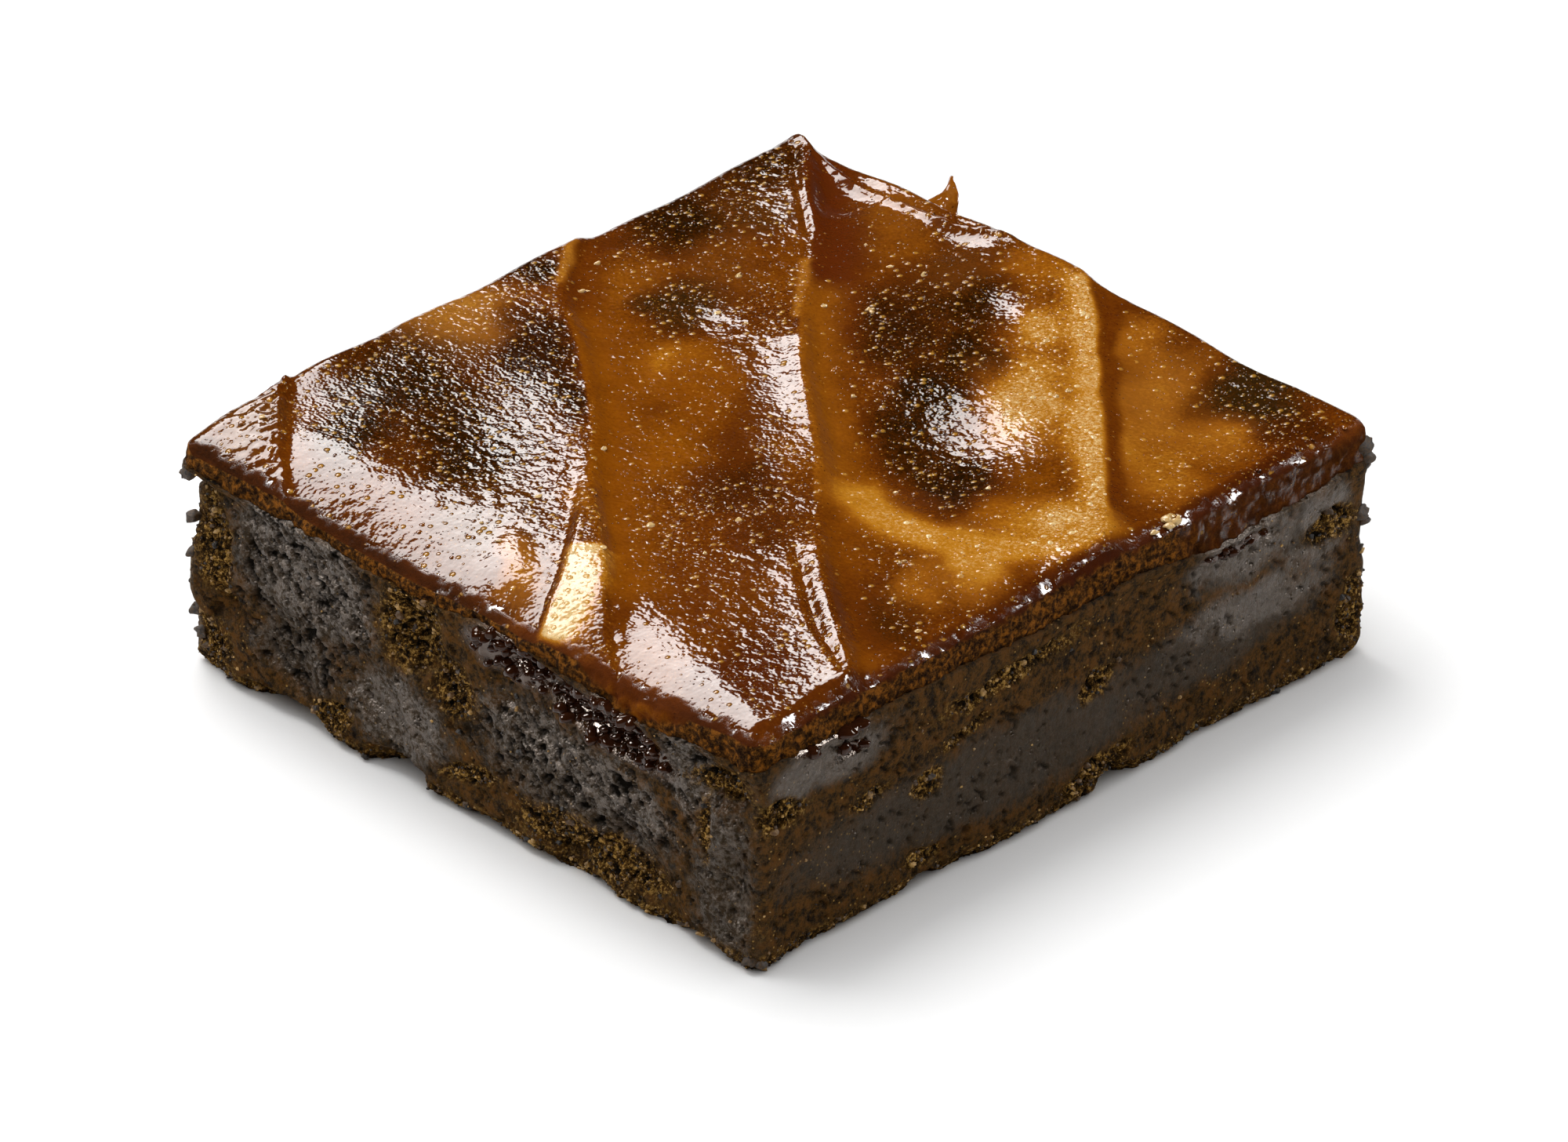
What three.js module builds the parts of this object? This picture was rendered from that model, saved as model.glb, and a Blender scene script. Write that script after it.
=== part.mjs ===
// A chocolate brownie cut square from its tray: a block of dense cake under a layer of fudge frosting that a
// knife spread in long strokes, with a ridge between each stroke and the next. The front face, towards -Y, is
// torn and pitted. The side face, towards +X, is cut clean. Lengths are in millimetres, +Z is up, and the
// origin is the middle of the underside.

import * as THREE from "three";
import { mergeGeometries, mergeVertices } from "three/addons/utils/BufferGeometryUtils.js";

// Driving dimensions
const WIDTH = 70;
const DEPTH = 73.6;
const CAKE_HEIGHT = 20.2;
const FROSTING_THICKNESS = 2.7;
const CORNER_RADIUS = 1.8;
const REST_GAP = 0.25; // between the frosting's underside and the cake

// How finely the surfaces are divided
const CELLS_X = 46;
const CELLS_Y = 48;
const SIDE_LEVELS = [0, 0.04, 0.11, 0.2, 0.3, 0.41, 0.52, 0.63, 0.74, 0.84, 0.93, 1];

// The rim, where the frosting rolls over to the sides
const FRONT_ROLL_WIDTHS = [[-30, 8.5], [-6, 11], [14, 8.5], [34, 4.5]]; // x, width there
const FRONT_ROLL_SLOPE = 0.37; // at the edge
const FRONT_EDGE_ROLL = { width: 1.3, drop: 0.45 };
const RIGHT_ROLL = { width: 2.2, drop: 0.9 };
const BACK_ROLL = { width: 0.8, drop: 0.3 };
const LEFT_ROLL = { width: 1.4, drop: 0.4 };
const UNEVENNESS = 0.06; // of the spread surface
const CHEEK = 0.3; // how far the frosting's side bulges past its top edge
const SEAT_WIDTH = 2.6; // of the sloping band under the frosting's edge
const FLUSH_BAND = 1.6; // height of the band under the frosting where the cake comes out to meet it

// The sides
const CUT_WANDER = 0.5;
const CRAG_DEPTH = 0.85;
const CLEAN_SHARE = 0.35; // how torn the cut faces are, beside the front face
const FOOT = { height: 1.1, inset: 0.8 }; // the crumbled lower edge

// Ridges run from the back to the front. Each rises gently on its left and falls steeply on its right. A crest
// point gives x, y, the rise there and the reach of the gentle side.
const RIDGES = [
  {
    name: "left corner crease", steep: 1.3,
    crest: [
      [-39.5, -21, 0.7, 2.6], [-33.9, -25.9, 0.7, 2.6], [-30.5, -29.1, 0.7, 2.6],
      [-25.6, -33.5, 0.5, 2], [-17, -41.5, 0.2, 2],
    ],
  },
  {
    name: "left stroke", steep: 1.4,
    crest: [
      [-40, 14.5, 0.9, 30], [-35.5, 9.7, 0.9, 30], [-27.4, 1.1, 0.8, 30], [-20.5, -3.4, 0.7, 24],
      [-10.8, -11.2, 0.7, 20], [-2.9, -18.9, 0.75, 14], [5.6, -25.8, 0.65, 10], [12, -31, 0.3, 8],
      [18, -36.7, 0.1, 8], [22.5, -41, 0.1, 8],
    ],
  },
  {
    name: "middle stroke", steep: 1.5,
    crest: [
      [-38.5, 41.5, 0.7, 5], [-32.2, 35.5, 0.7, 5], [-26, 29.4, 1.2, 4.5], [-19.3, 23.8, 0.5, 7],
      [-12.3, 15.2, 0.5, 7], [-8.2, 11, 1, 4.4], [-3.7, 6.7, 1, 3.4], [5.1, -0.3, 0.95, 3.2], [9, -4, 0.6, 3.6],
      [13.3, -8.3, 0.4, 6], [17, -12, 0.8, 4], [20.5, -15.1, 0.9, 3.2], [33.3, -24.6, 0.8, 2.8], [40, -29.6, 0.8, 2.8],
    ],
  },
  {
    name: "right stroke", steep: 1.7,
    crest: [
      [-4.5, 41.5, 0.6, 10], [0.8, 36.4, 0.6, 10], [5.4, 32.2, 0.6, 10], [11.1, 27, 0.55, 10],
      [19.2, 19.1, 0.6, 10], [27.1, 11.4, 0.7, 9], [34.5, 4.5, 0.8, 9], [40, -1, 0.8, 9],
    ],
  },
  {
    name: "back ledge", steep: 1.5,
    crest: [
      [-39, 38, 0.2, 1.5], [-31.9, 35.8, 0.3, 1.5], [-24.7, 33.9, 0.3, 1.5], [-15.2, 33.9, 0.3, 1.5],
      [-10.9, 35, 0.3, 1.5], [-5, 38, 0.1, 1.5],
    ],
  },
  {
    name: "folded lip", steep: 2.6,
    crest: [
      [-9, -13.4, 0, 1.5], [-2.3, -20.5, 0.4, 1.5], [1.4, -24.7, 0.6, 1.5], [5.3, -29.8, 0.6, 1.5],
      [12.1, -41, 0.6, 1.5],
    ],
  },
];

// Shallow bowls and swells in the frosting: centre, half-lengths along and across the strokes, and height.
const SWELLS = [
  { name: "left stroke's bed", at: [-15, -24], along: 21, across: 11, rise: -0.75 },
  { name: "left edge", at: [-46, -12], along: 24, across: 16, rise: 0.5 },
  { name: "bowl between the strokes", at: [11.5, 6.5], along: 13, across: 12.5, rise: -1.4 },
  { name: "small dip", at: [0, 25.5], along: 5, across: 3.6, rise: -0.3 },
  { name: "right corner", at: [24, 27], along: 13, across: 10, rise: -0.8 },
  { name: "back edge", at: [-3, 43], along: 28, across: 28, rise: 0.8 },
  { name: "back edge's left lump", at: [-22, 41], along: 6.5, across: 6.5, rise: 0.8 },
  { name: "back edge's right lump", at: [-9.5, 41], along: 6.5, across: 6.5, rise: 0.8 },
  { name: "flap by the folded lip", at: [0.5, -32], along: 7, across: 3.2, rise: 0.35 },
  { name: "curl on the back edge", at: [-17, 36.3], along: 1.8, across: 2.2, rise: 1.3 },
];

// Hollows in the cake's sides: centre, half-length, half-height, slope up to the right, and depth.
const HOLLOWS = [
  { name: "melted chocolate pocket", at: [13, -37, 17.3], reach: 12.5, height: 2.3, slope: -0.22, depth: 1.5 },
  { name: "torn corner ledge", at: [31, -37, 15.4], reach: 5, height: 1.1, slope: 0.1, depth: 1.2 },
  { name: "left corner recess", at: [-34, -35, 18.6], reach: 4.5, height: 1.3, slope: 0, depth: 1.3 },
  { name: "front pit", at: [18.6, -37, 6.8], reach: 1.8, height: 1.3, slope: 0, depth: 1.2 },
  { name: "low front pit", at: [12.5, -37, 2.2], reach: 2.6, height: 1.6, slope: 0, depth: 1.4 },
  { name: "crumbling column", at: [-5, -37, 15], reach: 3.4, height: 6, slope: 0.5, depth: 0.7 },
  { name: "pit at the left", at: [-29.5, -37, 7.6], reach: 2.6, height: 2.4, slope: 0, depth: 1.3 },
  { name: "back crag", at: [-35, 12, 9], reach: 7, height: 3.2, slope: 0.2, depth: 1.1 },
  { name: "far crag", at: [9, 37, 12], reach: 8, height: 2.6, slope: -0.15, depth: 1.1 },
];

// Chips out of the lower edge: centre, half-length, height and depth.
const CHIPS = [
  { name: "front left chip", at: [-22.5, -37], reach: 6, height: 2.2, depth: 2.2 },
  { name: "front chip", at: [-8.5, -37], reach: 4.4, height: 2.7, depth: 2.4 },
  { name: "front right chip", at: [27.5, -37], reach: 3, height: 1.4, depth: 1.3 },
  { name: "side notch", at: [35, 6], reach: 3, height: 2.2, depth: 2.2 },
  { name: "small side notch", at: [35, -16.5], reach: 2.4, height: 1.5, depth: 1.4 },
  { name: "back chip", at: [-35, -14], reach: 3.4, height: 1.8, depth: 1.5 },
  { name: "far chip", at: [-12, 37], reach: 3.2, height: 1.6, depth: 1.4 },
];

const GOLDEN_ANGLE = Math.PI * (3 - Math.sqrt(5));
const WAVES = 5;

// A smooth value from -1 to 1 that wanders over the block: sine waves of about one length in spread directions.
function wander(x, y, z, length, seed) {
  let sum = 0;
  for (let n = 0; n < WAVES; n++) {
    const turn = seed + n * GOLDEN_ANGLE;
    const climb = 0.8 * Math.sin(3.1 * seed + 1.7 * n);
    const flat = Math.sqrt(1 - climb * climb);
    const along = flat * (x * Math.cos(turn) + y * Math.sin(turn)) + climb * z;
    sum += Math.sin((2 * Math.PI * along) / (length * (1 + 0.13 * n)) + 7 * seed + 2.3 * n);
  }
  return THREE.MathUtils.clamp(sum / Math.sqrt(WAVES), -1, 1);
}

// A dome that is 1 at distance 0 and 0 from distance 1 on.
function dome(distance) {
  const t = Math.max(0, 1 - distance * distance);
  return t * t;
}

// A point of the outline grid, with the block's four upright corners rounded.
function gridPoint(i, j) {
  const x = (i / CELLS_X - 0.5) * WIDTH;
  const y = (j / CELLS_Y - 0.5) * DEPTH;
  const coreX = WIDTH / 2 - CORNER_RADIUS;
  const coreY = DEPTH / 2 - CORNER_RADIUS;
  const u = Math.max(0, Math.abs(x) - coreX) / CORNER_RADIUS;
  const v = Math.max(0, Math.abs(y) - coreY) / CORNER_RADIUS;
  return new THREE.Vector2(
    Math.sign(x) * (Math.min(Math.abs(x), coreX) + CORNER_RADIUS * u * Math.sqrt(1 - (v * v) / 2)),
    Math.sign(y) * (Math.min(Math.abs(y), coreY) + CORNER_RADIUS * v * Math.sqrt(1 - (u * u) / 2)),
  );
}

// The way out of the block: of length 1 at the outline, and fading to 0 at a depth of one reach.
function outward(p, reach) {
  const core = new THREE.Vector2(
    THREE.MathUtils.clamp(p.x, reach - WIDTH / 2, WIDTH / 2 - reach),
    THREE.MathUtils.clamp(p.y, reach - DEPTH / 2, DEPTH / 2 - reach),
  );
  return p.clone().sub(core).divideScalar(reach).clampLength(0, 1);
}

// The grid's border, walked anticlockwise from the front left corner.
function border() {
  const steps = [];
  for (let i = 0; i < CELLS_X; i++) steps.push([i, 0]);
  for (let j = 0; j < CELLS_Y; j++) steps.push([CELLS_X, j]);
  for (let i = CELLS_X; i > 0; i--) steps.push([i, CELLS_Y]);
  for (let j = CELLS_Y; j > 0; j--) steps.push([0, j]);
  return steps;
}

// How torn the side is: 1 on the front face and CLEAN_SHARE on the three cut ones.
function tornShare(p) {
  return THREE.MathUtils.lerp(CLEAN_SHARE, 1, THREE.MathUtils.smoothstep(-outward(p, 3).y, 0.2, 0.9));
}

// How far the cake's side lies inside the outline. It meets the frosting flush, except at a hollow.
function sideDepth(p, z) {
  const below = THREE.MathUtils.smoothstep(lipHeight(p) - z, 0, FLUSH_BAND);
  const crags = CRAG_DEPTH * tornShare(p) * Math.max(0, wander(p.x, p.y, z, 7.5, 4.1));
  const cut = CUT_WANDER * (0.5 + 0.5 * wander(p.x, p.y, z, 23, 1.3));
  let depth = THREE.MathUtils.lerp(frostingDepth(p), cut + crags, below);
  for (const h of HOLLOWS) {
    const aside = Math.hypot(p.x - h.at[0], p.y - h.at[1]) * (p.x + p.y < h.at[0] + h.at[1] ? -1 : 1);
    depth += h.depth * dome(Math.hypot(aside / h.reach, (z - h.at[2] - h.slope * aside) / h.height));
  }
  for (const c of CHIPS) {
    const aside = Math.hypot(p.x - c.at[0], p.y - c.at[1]);
    depth += c.depth * dome(aside / c.reach) * (1 - THREE.MathUtils.smoothstep(z, 0.5 * c.height, c.height));
  }
  return depth + FOOT.inset * (1 - THREE.MathUtils.smoothstep(z, 0, FOOT.height));
}

// How far the frosting's edge lies inside the outline.
function frostingDepth(p) {
  return 0.2 + 0.35 * (0.5 + 0.5 * wander(p.x, p.y, 0, 9, 2.2));
}

// The height of the frosting's lower edge: it hangs lowest at the right corner.
function lipHeight(p) {
  const hang = THREE.MathUtils.smoothstep(p.x, 30, 35) * dome((p.y - 24) / 19);
  return CAKE_HEIGHT - 0.5 - 0.35 * wander(p.x, p.y, 0, 11, 5.7) - 1.5 * hang;
}

// Each crest as a curve, with the rise and the gentle side's reach at each of its points.
const crestLines = RIDGES.map(({ crest }) => {
  const course = new THREE.SplineCurve(crest.map(([x, y]) => new THREE.Vector2(x, y)));
  const shape = new THREE.SplineCurve(crest.map(([, , rise, reach]) => new THREE.Vector2(rise, reach)));
  const count = 5 * (crest.length - 1);
  return Array.from({ length: count + 1 }, (_, n) => {
    const [rise, reach] = shape.getPoint(n / count).toArray();
    return { at: course.getPoint(n / count), rise, reach };
  });
});

// The nearest point of a crest: its distance, negative on the gentle left side, with the rise and the reach there.
function nearestCrest(line, x, y) {
  let nearest = { gap: Infinity };
  for (let n = 0; n + 1 < line.length; n++) {
    const a = line[n];
    const b = line[n + 1];
    const dx = b.at.x - a.at.x;
    const dy = b.at.y - a.at.y;
    const t = THREE.MathUtils.clamp(((x - a.at.x) * dx + (y - a.at.y) * dy) / (dx * dx + dy * dy), 0, 1);
    const gap = Math.hypot(x - a.at.x - t * dx, y - a.at.y - t * dy);
    if (gap < nearest.gap) {
      const side = dx * (y - a.at.y) - dy * (x - a.at.x) > 0 ? 1 : -1;
      const rise = THREE.MathUtils.lerp(a.rise, b.rise, t);
      const reach = THREE.MathUtils.lerp(a.reach, b.reach, t);
      nearest = { gap, distance: side * gap, rise, reach };
    }
  }
  return nearest;
}

// The frosting's height over its plain level: ridges, bowls and a slight unevenness.
function relief(x, y) {
  let height = UNEVENNESS * wander(x, y, 0, 14, 3.3);
  RIDGES.forEach(({ steep }, n) => {
    const { distance: d, rise, reach } = nearestCrest(crestLines[n], x, y);
    height += rise * (d < 0 ? Math.exp(d / reach) : Math.exp(-((d / steep) ** 2)));
  });
  for (const s of SWELLS) {
    const along = ((x - s.at[0]) - (y - s.at[1])) / Math.SQRT2;
    const across = ((x - s.at[0]) + (y - s.at[1])) / Math.SQRT2;
    height += s.rise * dome(Math.hypot(along / s.along, across / s.across));
  }
  return height;
}

// How far the frosting has rolled down at a distance from an edge.
function rollDown(roll, distance) {
  const t = Math.max(0, 1 - distance / roll.width);
  return roll.drop * t * t;
}

// The front's wide roll at a place along X.
function frontRoll(x) {
  const n = FRONT_ROLL_WIDTHS.findLastIndex(([at]) => at <= x);
  const [from, first] = FRONT_ROLL_WIDTHS[Math.max(0, n)];
  const [to, last] = FRONT_ROLL_WIDTHS[Math.min(n + 1, FRONT_ROLL_WIDTHS.length - 1)];
  const width = to > from ? THREE.MathUtils.mapLinear(x, from, to, first, last) : last;
  return { width, drop: (width * FRONT_ROLL_SLOPE) / 2 };
}

function frostingHeight(x, y) {
  const roll =
    rollDown(frontRoll(x), y + DEPTH / 2) +
    rollDown(FRONT_EDGE_ROLL, y + DEPTH / 2) +
    rollDown(BACK_ROLL, DEPTH / 2 - y) +
    rollDown(RIGHT_ROLL, WIDTH / 2 - x) +
    rollDown(LEFT_ROLL, WIDTH / 2 + x);
  return CAKE_HEIGHT + FROSTING_THICKNESS + relief(x, y) - roll;
}

function frostingPoint(i, j) {
  const p = gridPoint(i, j);
  const height = frostingHeight(p.x, p.y);
  p.addScaledVector(outward(p, 4), -frostingDepth(p) - CHEEK);
  return new THREE.Vector3(p.x, p.y, height);
}

function geometryOf(points, faces) {
  const geometry = new THREE.BufferGeometry().setFromPoints(points);
  geometry.setIndex(faces);
  return geometry;
}

// The band of faces between rings of equal length, each below the next and anticlockwise from above.
function wall(rings) {
  const count = rings[0].length;
  const faces = [];
  for (let r = 0; r + 1 < rings.length; r++) {
    for (let i = 0; i < count; i++) {
      const a = r * count + i;
      const b = r * count + ((i + 1) % count);
      faces.push(a, b, b + count, a, b + count, a + count);
    }
  }
  return geometryOf(rings.flat(), faces);
}

// A face that closes a ring, as a fan round its middle.
function cap(ring, facesUp) {
  const middle = ring.reduce((sum, p) => sum.add(p), new THREE.Vector3()).divideScalar(ring.length);
  const faces = ring.flatMap((_, n) => {
    const next = (n + 1) % ring.length;
    return facesUp ? [n, next, ring.length] : [next, n, ring.length];
  });
  return geometryOf([...ring, middle], faces);
}

function closed(geometries) {
  const geometry = mergeVertices(mergeGeometries(geometries), 1e-4);
  geometry.computeVertexNormals();
  return geometry;
}

// A ring at one depth inside the outline, with its own height at each point.
function ringAt(depthOf, heightOf) {
  return border().map(([i, j]) => {
    const p = gridPoint(i, j);
    const depth = depthOf(p);
    const height = heightOf(p);
    p.addScaledVector(outward(p, CORNER_RADIUS), -depth);
    return new THREE.Vector3(p.x, p.y, height);
  });
}

function cakeGeometry() {
  const topOf = (p) => lipHeight(p) - REST_GAP;
  const rings = SIDE_LEVELS.map((share) =>
    ringAt(
      (p) => Math.max(sideDepth(p, share * topOf(p)), share === 1 ? frostingDepth(p) + 0.1 : 0),
      (p) => share * topOf(p),
    ),
  );
  const seat = ringAt(() => SEAT_WIDTH, () => CAKE_HEIGHT - REST_GAP);
  return closed([cap(rings[0], false), wall([...rings, seat]), cap(seat, true)]);
}

function frostingGeometry() {
  // The plane is laid out turned, so that the cells' diagonals run along the ridges.
  const top = new THREE.PlaneGeometry(DEPTH, WIDTH, CELLS_Y, CELLS_X);
  top.deleteAttribute("normal");
  top.deleteAttribute("uv");
  const position = top.getAttribute("position");
  for (let i = 0; i <= CELLS_X; i++) {
    for (let j = 0; j <= CELLS_Y; j++) {
      position.setXYZ(i * (CELLS_Y + 1) + j, ...frostingPoint(i, j).toArray());
    }
  }
  const edge = border().map(([i, j]) => frostingPoint(i, j));
  const cheek = ringAt(frostingDepth, lipHeight).map((p, n) => {
    p.z = THREE.MathUtils.lerp(p.z, edge[n].z, 0.6);
    return p;
  });
  const lip = ringAt((p) => frostingDepth(p) + 0.1, lipHeight);
  const seat = ringAt(() => SEAT_WIDTH, () => CAKE_HEIGHT);
  return closed([top, wall([seat, lip, cheek, edge]), cap(seat, false)]);
}

function piece(name, geometry, material) {
  const mesh = new THREE.Mesh(geometry, material);
  mesh.name = name;
  return mesh;
}

const cakeCrumb = new THREE.MeshStandardMaterial({ color: 0x3a2a1a, roughness: 0.6, metalness: 0 });
const fudge = new THREE.MeshStandardMaterial({ color: 0x7a4112, roughness: 0.22, metalness: 0 });

const brownie = new THREE.Group();
brownie.add(piece("cake", cakeGeometry(), cakeCrumb));
brownie.add(piece("frosting", frostingGeometry(), fudge));

export default brownie;
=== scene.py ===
# The looks of a chocolate brownie: dense cake with one torn face, under glossy fudge frosting.
# Shapes are in millimetres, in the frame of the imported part, and turn into metres in the meshes.
# "Along" is the way of the knife strokes, from the back corner to the front, and "across" is to its right.

import itertools
import math

import bmesh
import bpy
import numpy as np
from mathutils import Matrix, Vector


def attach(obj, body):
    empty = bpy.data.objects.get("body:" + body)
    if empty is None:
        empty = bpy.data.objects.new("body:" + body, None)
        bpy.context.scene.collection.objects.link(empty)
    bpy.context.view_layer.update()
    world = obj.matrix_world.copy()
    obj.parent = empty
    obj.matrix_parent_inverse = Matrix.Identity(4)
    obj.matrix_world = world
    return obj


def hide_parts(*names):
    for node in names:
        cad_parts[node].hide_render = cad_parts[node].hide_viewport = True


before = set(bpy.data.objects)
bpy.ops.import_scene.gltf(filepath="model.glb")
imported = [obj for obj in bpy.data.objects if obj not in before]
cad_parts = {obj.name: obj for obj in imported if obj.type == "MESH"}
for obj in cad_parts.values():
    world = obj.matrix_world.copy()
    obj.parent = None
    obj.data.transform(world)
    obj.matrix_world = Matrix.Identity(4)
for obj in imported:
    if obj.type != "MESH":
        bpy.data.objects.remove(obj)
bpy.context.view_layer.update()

MM = 0.001

# The same driving sizes as the solids', in millimetres
WIDTH = 70.0
DEPTH = 73.6
CORNER_RADIUS = 1.8
CORE_REACH = 4.0  # how deep inside the outline the ways in from its corners meet
CAKE_HEIGHT = 20.2
FROSTING_THICKNESS = 2.7

# The frosting's rim: how wide each side rolls over, and how far it drops
FRONT_ROLL_WIDTHS = ([-30, -24, -14, -6, 16, 34], [7.8, 9, 11.5, 12, 9.6, 2.6])  # at places along X
FRONT_ROLL_SLOPE = 0.355
FRONT_EDGE_ROLL = (1.3, 0.45)
RIGHT_ROLL = (2.2, 0.9)
BACK_ROLL = (0.8, 0.3)
LEFT_ROLL = (1.4, 0.4)
UNEVENNESS = 0.06
CHEEK = 0.3
LIP_LEVEL = CAKE_HEIGHT - 0.5

# The cake's sides
CUT_WANDER = 0.5
CRAG_DEPTH = 0.85
CLEAN_SHARE = 0.35
FLUSH_BAND = 1.6
FOOT_HEIGHT = 1.1
FOOT_INSET = 0.8

# Mesh fineness
TOP_CELLS = (276, 290)
FRONT_STEP = 0.22
RIGHT_STEP = 0.23
HIDDEN_STEP = 0.4
SIDE_ROWS = 84
SKIRT_ROWS = 13
UNDERSIDE_RINGS = (0.02, 0.5, 0.85)  # shares of the outline
TOP_INSET = 5.4  # of the cake's top, which the frosting hides
TUCK = 1.5  # how far the frosting's lower edge turns in over the cake

CAKE_VALUES = ("crumbly", "smeared", "sheen", "pits", "wet", "torn")

SEED = 7

# Ridges: reach of the steep right side, and the crest's X, Y, rise and reach of the left side
RIDGES = {
    "left corner crease": (0.6, [
        (-39.5, -21, 0.7, 2.6), (-33.9, -25.9, 0.7, 2.6), (-30.5, -29.1, 0.7, 2.6), (-25.6, -33.5, 0.5, 2),
        (-17, -41.5, 0.2, 2),
    ]),
    "left stroke": (1.1, [
        (-40, 14.5, 0.9, 30), (-35.5, 9.7, 0.9, 30), (-27.4, 1.1, 0.8, 30), (-20.5, -3.4, 0.7, 24),
        (-10.8, -11.2, 0.7, 20), (-2.9, -18.9, 0.75, 14), (5.6, -25.8, 0.65, 10), (12, -31, 0.3, 8),
        (18, -36.7, 0.1, 8), (22.5, -41, 0.1, 8),
    ]),
    "middle stroke": (1.2, [
        (-38.5, 41.5, 0.7, 5), (-32.2, 35.5, 0.7, 5), (-26, 29.4, 1.2, 4.5), (-19.3, 23.8, 0.5, 7),
        (-12.3, 15.2, 0.5, 7), (-8.2, 11, 1, 4.4), (-3.7, 6.7, 1, 3.4), (5.1, -0.3, 0.95, 3.2),
        (9, -4, 0.6, 3.6), (13.3, -8.3, 0.4, 6), (17, -12, 0.9, 4.6), (20.5, -15.1, 0.95, 3.8),
        (33.3, -24.6, 0.9, 3.6), (40, -29.6, 0.9, 3.6),
    ]),
    "right stroke": (1.6, [
        (-4.5, 41.5, 0.6, 10), (0.8, 36.4, 0.6, 10), (5.4, 32.2, 0.6, 10), (11.1, 27, 0.55, 10),
        (19.2, 19.1, 0.6, 10), (27.1, 11.4, 0.7, 9), (34.5, 4.5, 0.8, 9), (40, -1, 0.8, 9),
    ]),
    "back ledge": (0.5, [
        (-39, 38, 0.2, 0.4), (-31.9, 35.8, 0.3, 0.4), (-24.7, 33.9, 0.3, 0.4), (-15.2, 33.9, 0.3, 0.4),
        (-10.9, 35, 0.3, 0.4), (-5, 38, 0.1, 0.4),
    ]),
}
FOLDED_LIP = [(-9, -13.4), (-2.3, -20.5), (1.4, -24.7), (5.3, -29.8), (8.5, -35.5), (12.1, -41)]

# Slits beside the crests: path, width and depth
SLITS = [
    ([(-33.6, 35.6), (-29.5, 31.4), (-24.9, 27.6), (-20.2, 23.9)], 0.28, 0.3),
    ([(14.9, -12.6), (20.6, -16.9), (26.2, -20.9), (33.5, -24.6)], 0.4, 0.45),
    ([(8.2, -27.4), (12.2, -31), (16.6, -35.2), (19, -37.8)], 0.35, 0.5),
]

# Bowls and swells: X, Y, half-lengths along and across the strokes, and rise
SWELLS = [
    (-13.5, -23, 20, 10, -0.42), (-46, -12, 24, 16, 0.5), (10.7, 5.4, 13, 12.5, -1.38),
    (0, 25.5, 5, 3.6, -0.3), (24, 27, 13, 10, -0.8), (-3, 43, 28, 28, 0.8), (-22, 41, 6.5, 6.5, 0.8),
    (-9.5, 41, 6.5, 6.5, 0.8), (0.5, -32, 7, 3.2, 0.35), (-23.5, 31.5, 4.5, 4.5, -0.5),
    (-11, 31.8, 4.5, 4.5, -0.5), (36, 4, 9, 7, 0.5), (3.5, -5, 6, 4, -0.15), (-16.5, 6.5, 5, 5, -0.3),
    (-38, -20, 9, 8, 0.55),
]

# Hollows in the cake's sides: X, Y and Z of the centre, half-length, half-height, slope and depth
HOLLOWS = [
    (13, -37, 17.3, 12.5, 2.3, -0.22, 1.5), (31, -37, 15.4, 5, 1.1, 0.1, 1.2),
    (-34, -35, 18.6, 4.5, 1.3, 0, 1.3), (18.6, -37, 6.8, 1.8, 1.3, 0, 1.2),
    (12.5, -37, 2.2, 2.6, 1.6, 0, 1.4), (-5, -37, 15, 3.4, 6, 0.5, 0.7),
    (-29.5, -37, 7.6, 2.6, 2.4, 0, 1.3), (-35, 12, 9, 7, 3.2, 0.2, 1.1), (9, 37, 12, 8, 2.6, -0.15, 1.1),
]

# Small pits, given the same way
PITS = [
    (-13.4, -37, 12.6, 1.4, 1.1, 0, 1.3), (-2.4, -37, 12.8, 1.2, 1, 0, 1.2),
    (-29.5, -37, 9, 1.3, 1.2, 0, 0.8), (9, -37, 12, 0.6, 0.9, 0, 0.6), (12, -37, 12.4, 0.5, 0.9, 0, 0.6),
    (7.4, -37, 9.1, 1.1, 0.5, 0, 0.6), (4.7, -37, 13.4, 1.3, 0.8, -0.2, 0.7),
    (29.6, -37, 15.7, 1, 0.45, 0, 0.9), (33, -37, 15.6, 0.9, 0.4, 0, 0.8),
    (35, -25.6, 17.6, 1.5, 0.6, 0.15, 0.7), (35, -29, 20.4, 1.6, 0.7, 0.1, 0.6),
    (35, -6.7, 10.6, 0.4, 0.35, 0, 0.4), (35, 24.2, 17.2, 0.9, 0.8, 0, 0.5),
]

# Chips out of the lower edge: X, Y, half-length, height and depth
CHIPS = [
    (-22.5, -37, 6, 2.2, 2.2), (-8.5, -37, 4.4, 2.7, 2.4), (27.5, -37, 3, 1.4, 1.3), (35, 6, 3, 2.2, 2.2),
    (35, -16.5, 2.4, 1.5, 1.4), (-35, -14, 3.4, 1.8, 1.5), (-12, 37, 3.2, 1.6, 1.4),
]


# Shape maths

GOLDEN_ANGLE = math.pi * (3 - math.sqrt(5))
WAVES = 5
NOISE_LAYERS = 3


def wander(x, y, z, length, seed):
    """A smooth value from -1 to 1 that wanders over the block, from sine waves of about one length."""
    total = 0.0
    for n in range(WAVES):
        turn = seed + n * GOLDEN_ANGLE
        climb = 0.8 * math.sin(3.1 * seed + 1.7 * n)
        flat = math.sqrt(1 - climb * climb)
        along = flat * (x * math.cos(turn) + y * math.sin(turn)) + climb * z
        total = total + np.sin(2 * math.pi * along / (length * (1 + 0.13 * n)) + 7 * seed + 2.3 * n)
    return np.clip(total / math.sqrt(WAVES), -1, 1)


def scrambled(numbers):
    """Whole numbers stirred until neighbours have nothing in common."""
    numbers = (numbers ^ (numbers >> 15)) * 0x2C1B3C6D
    numbers = (numbers ^ (numbers >> 12)) * 0x297A2D39
    return numbers ^ (numbers >> 15)


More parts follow.
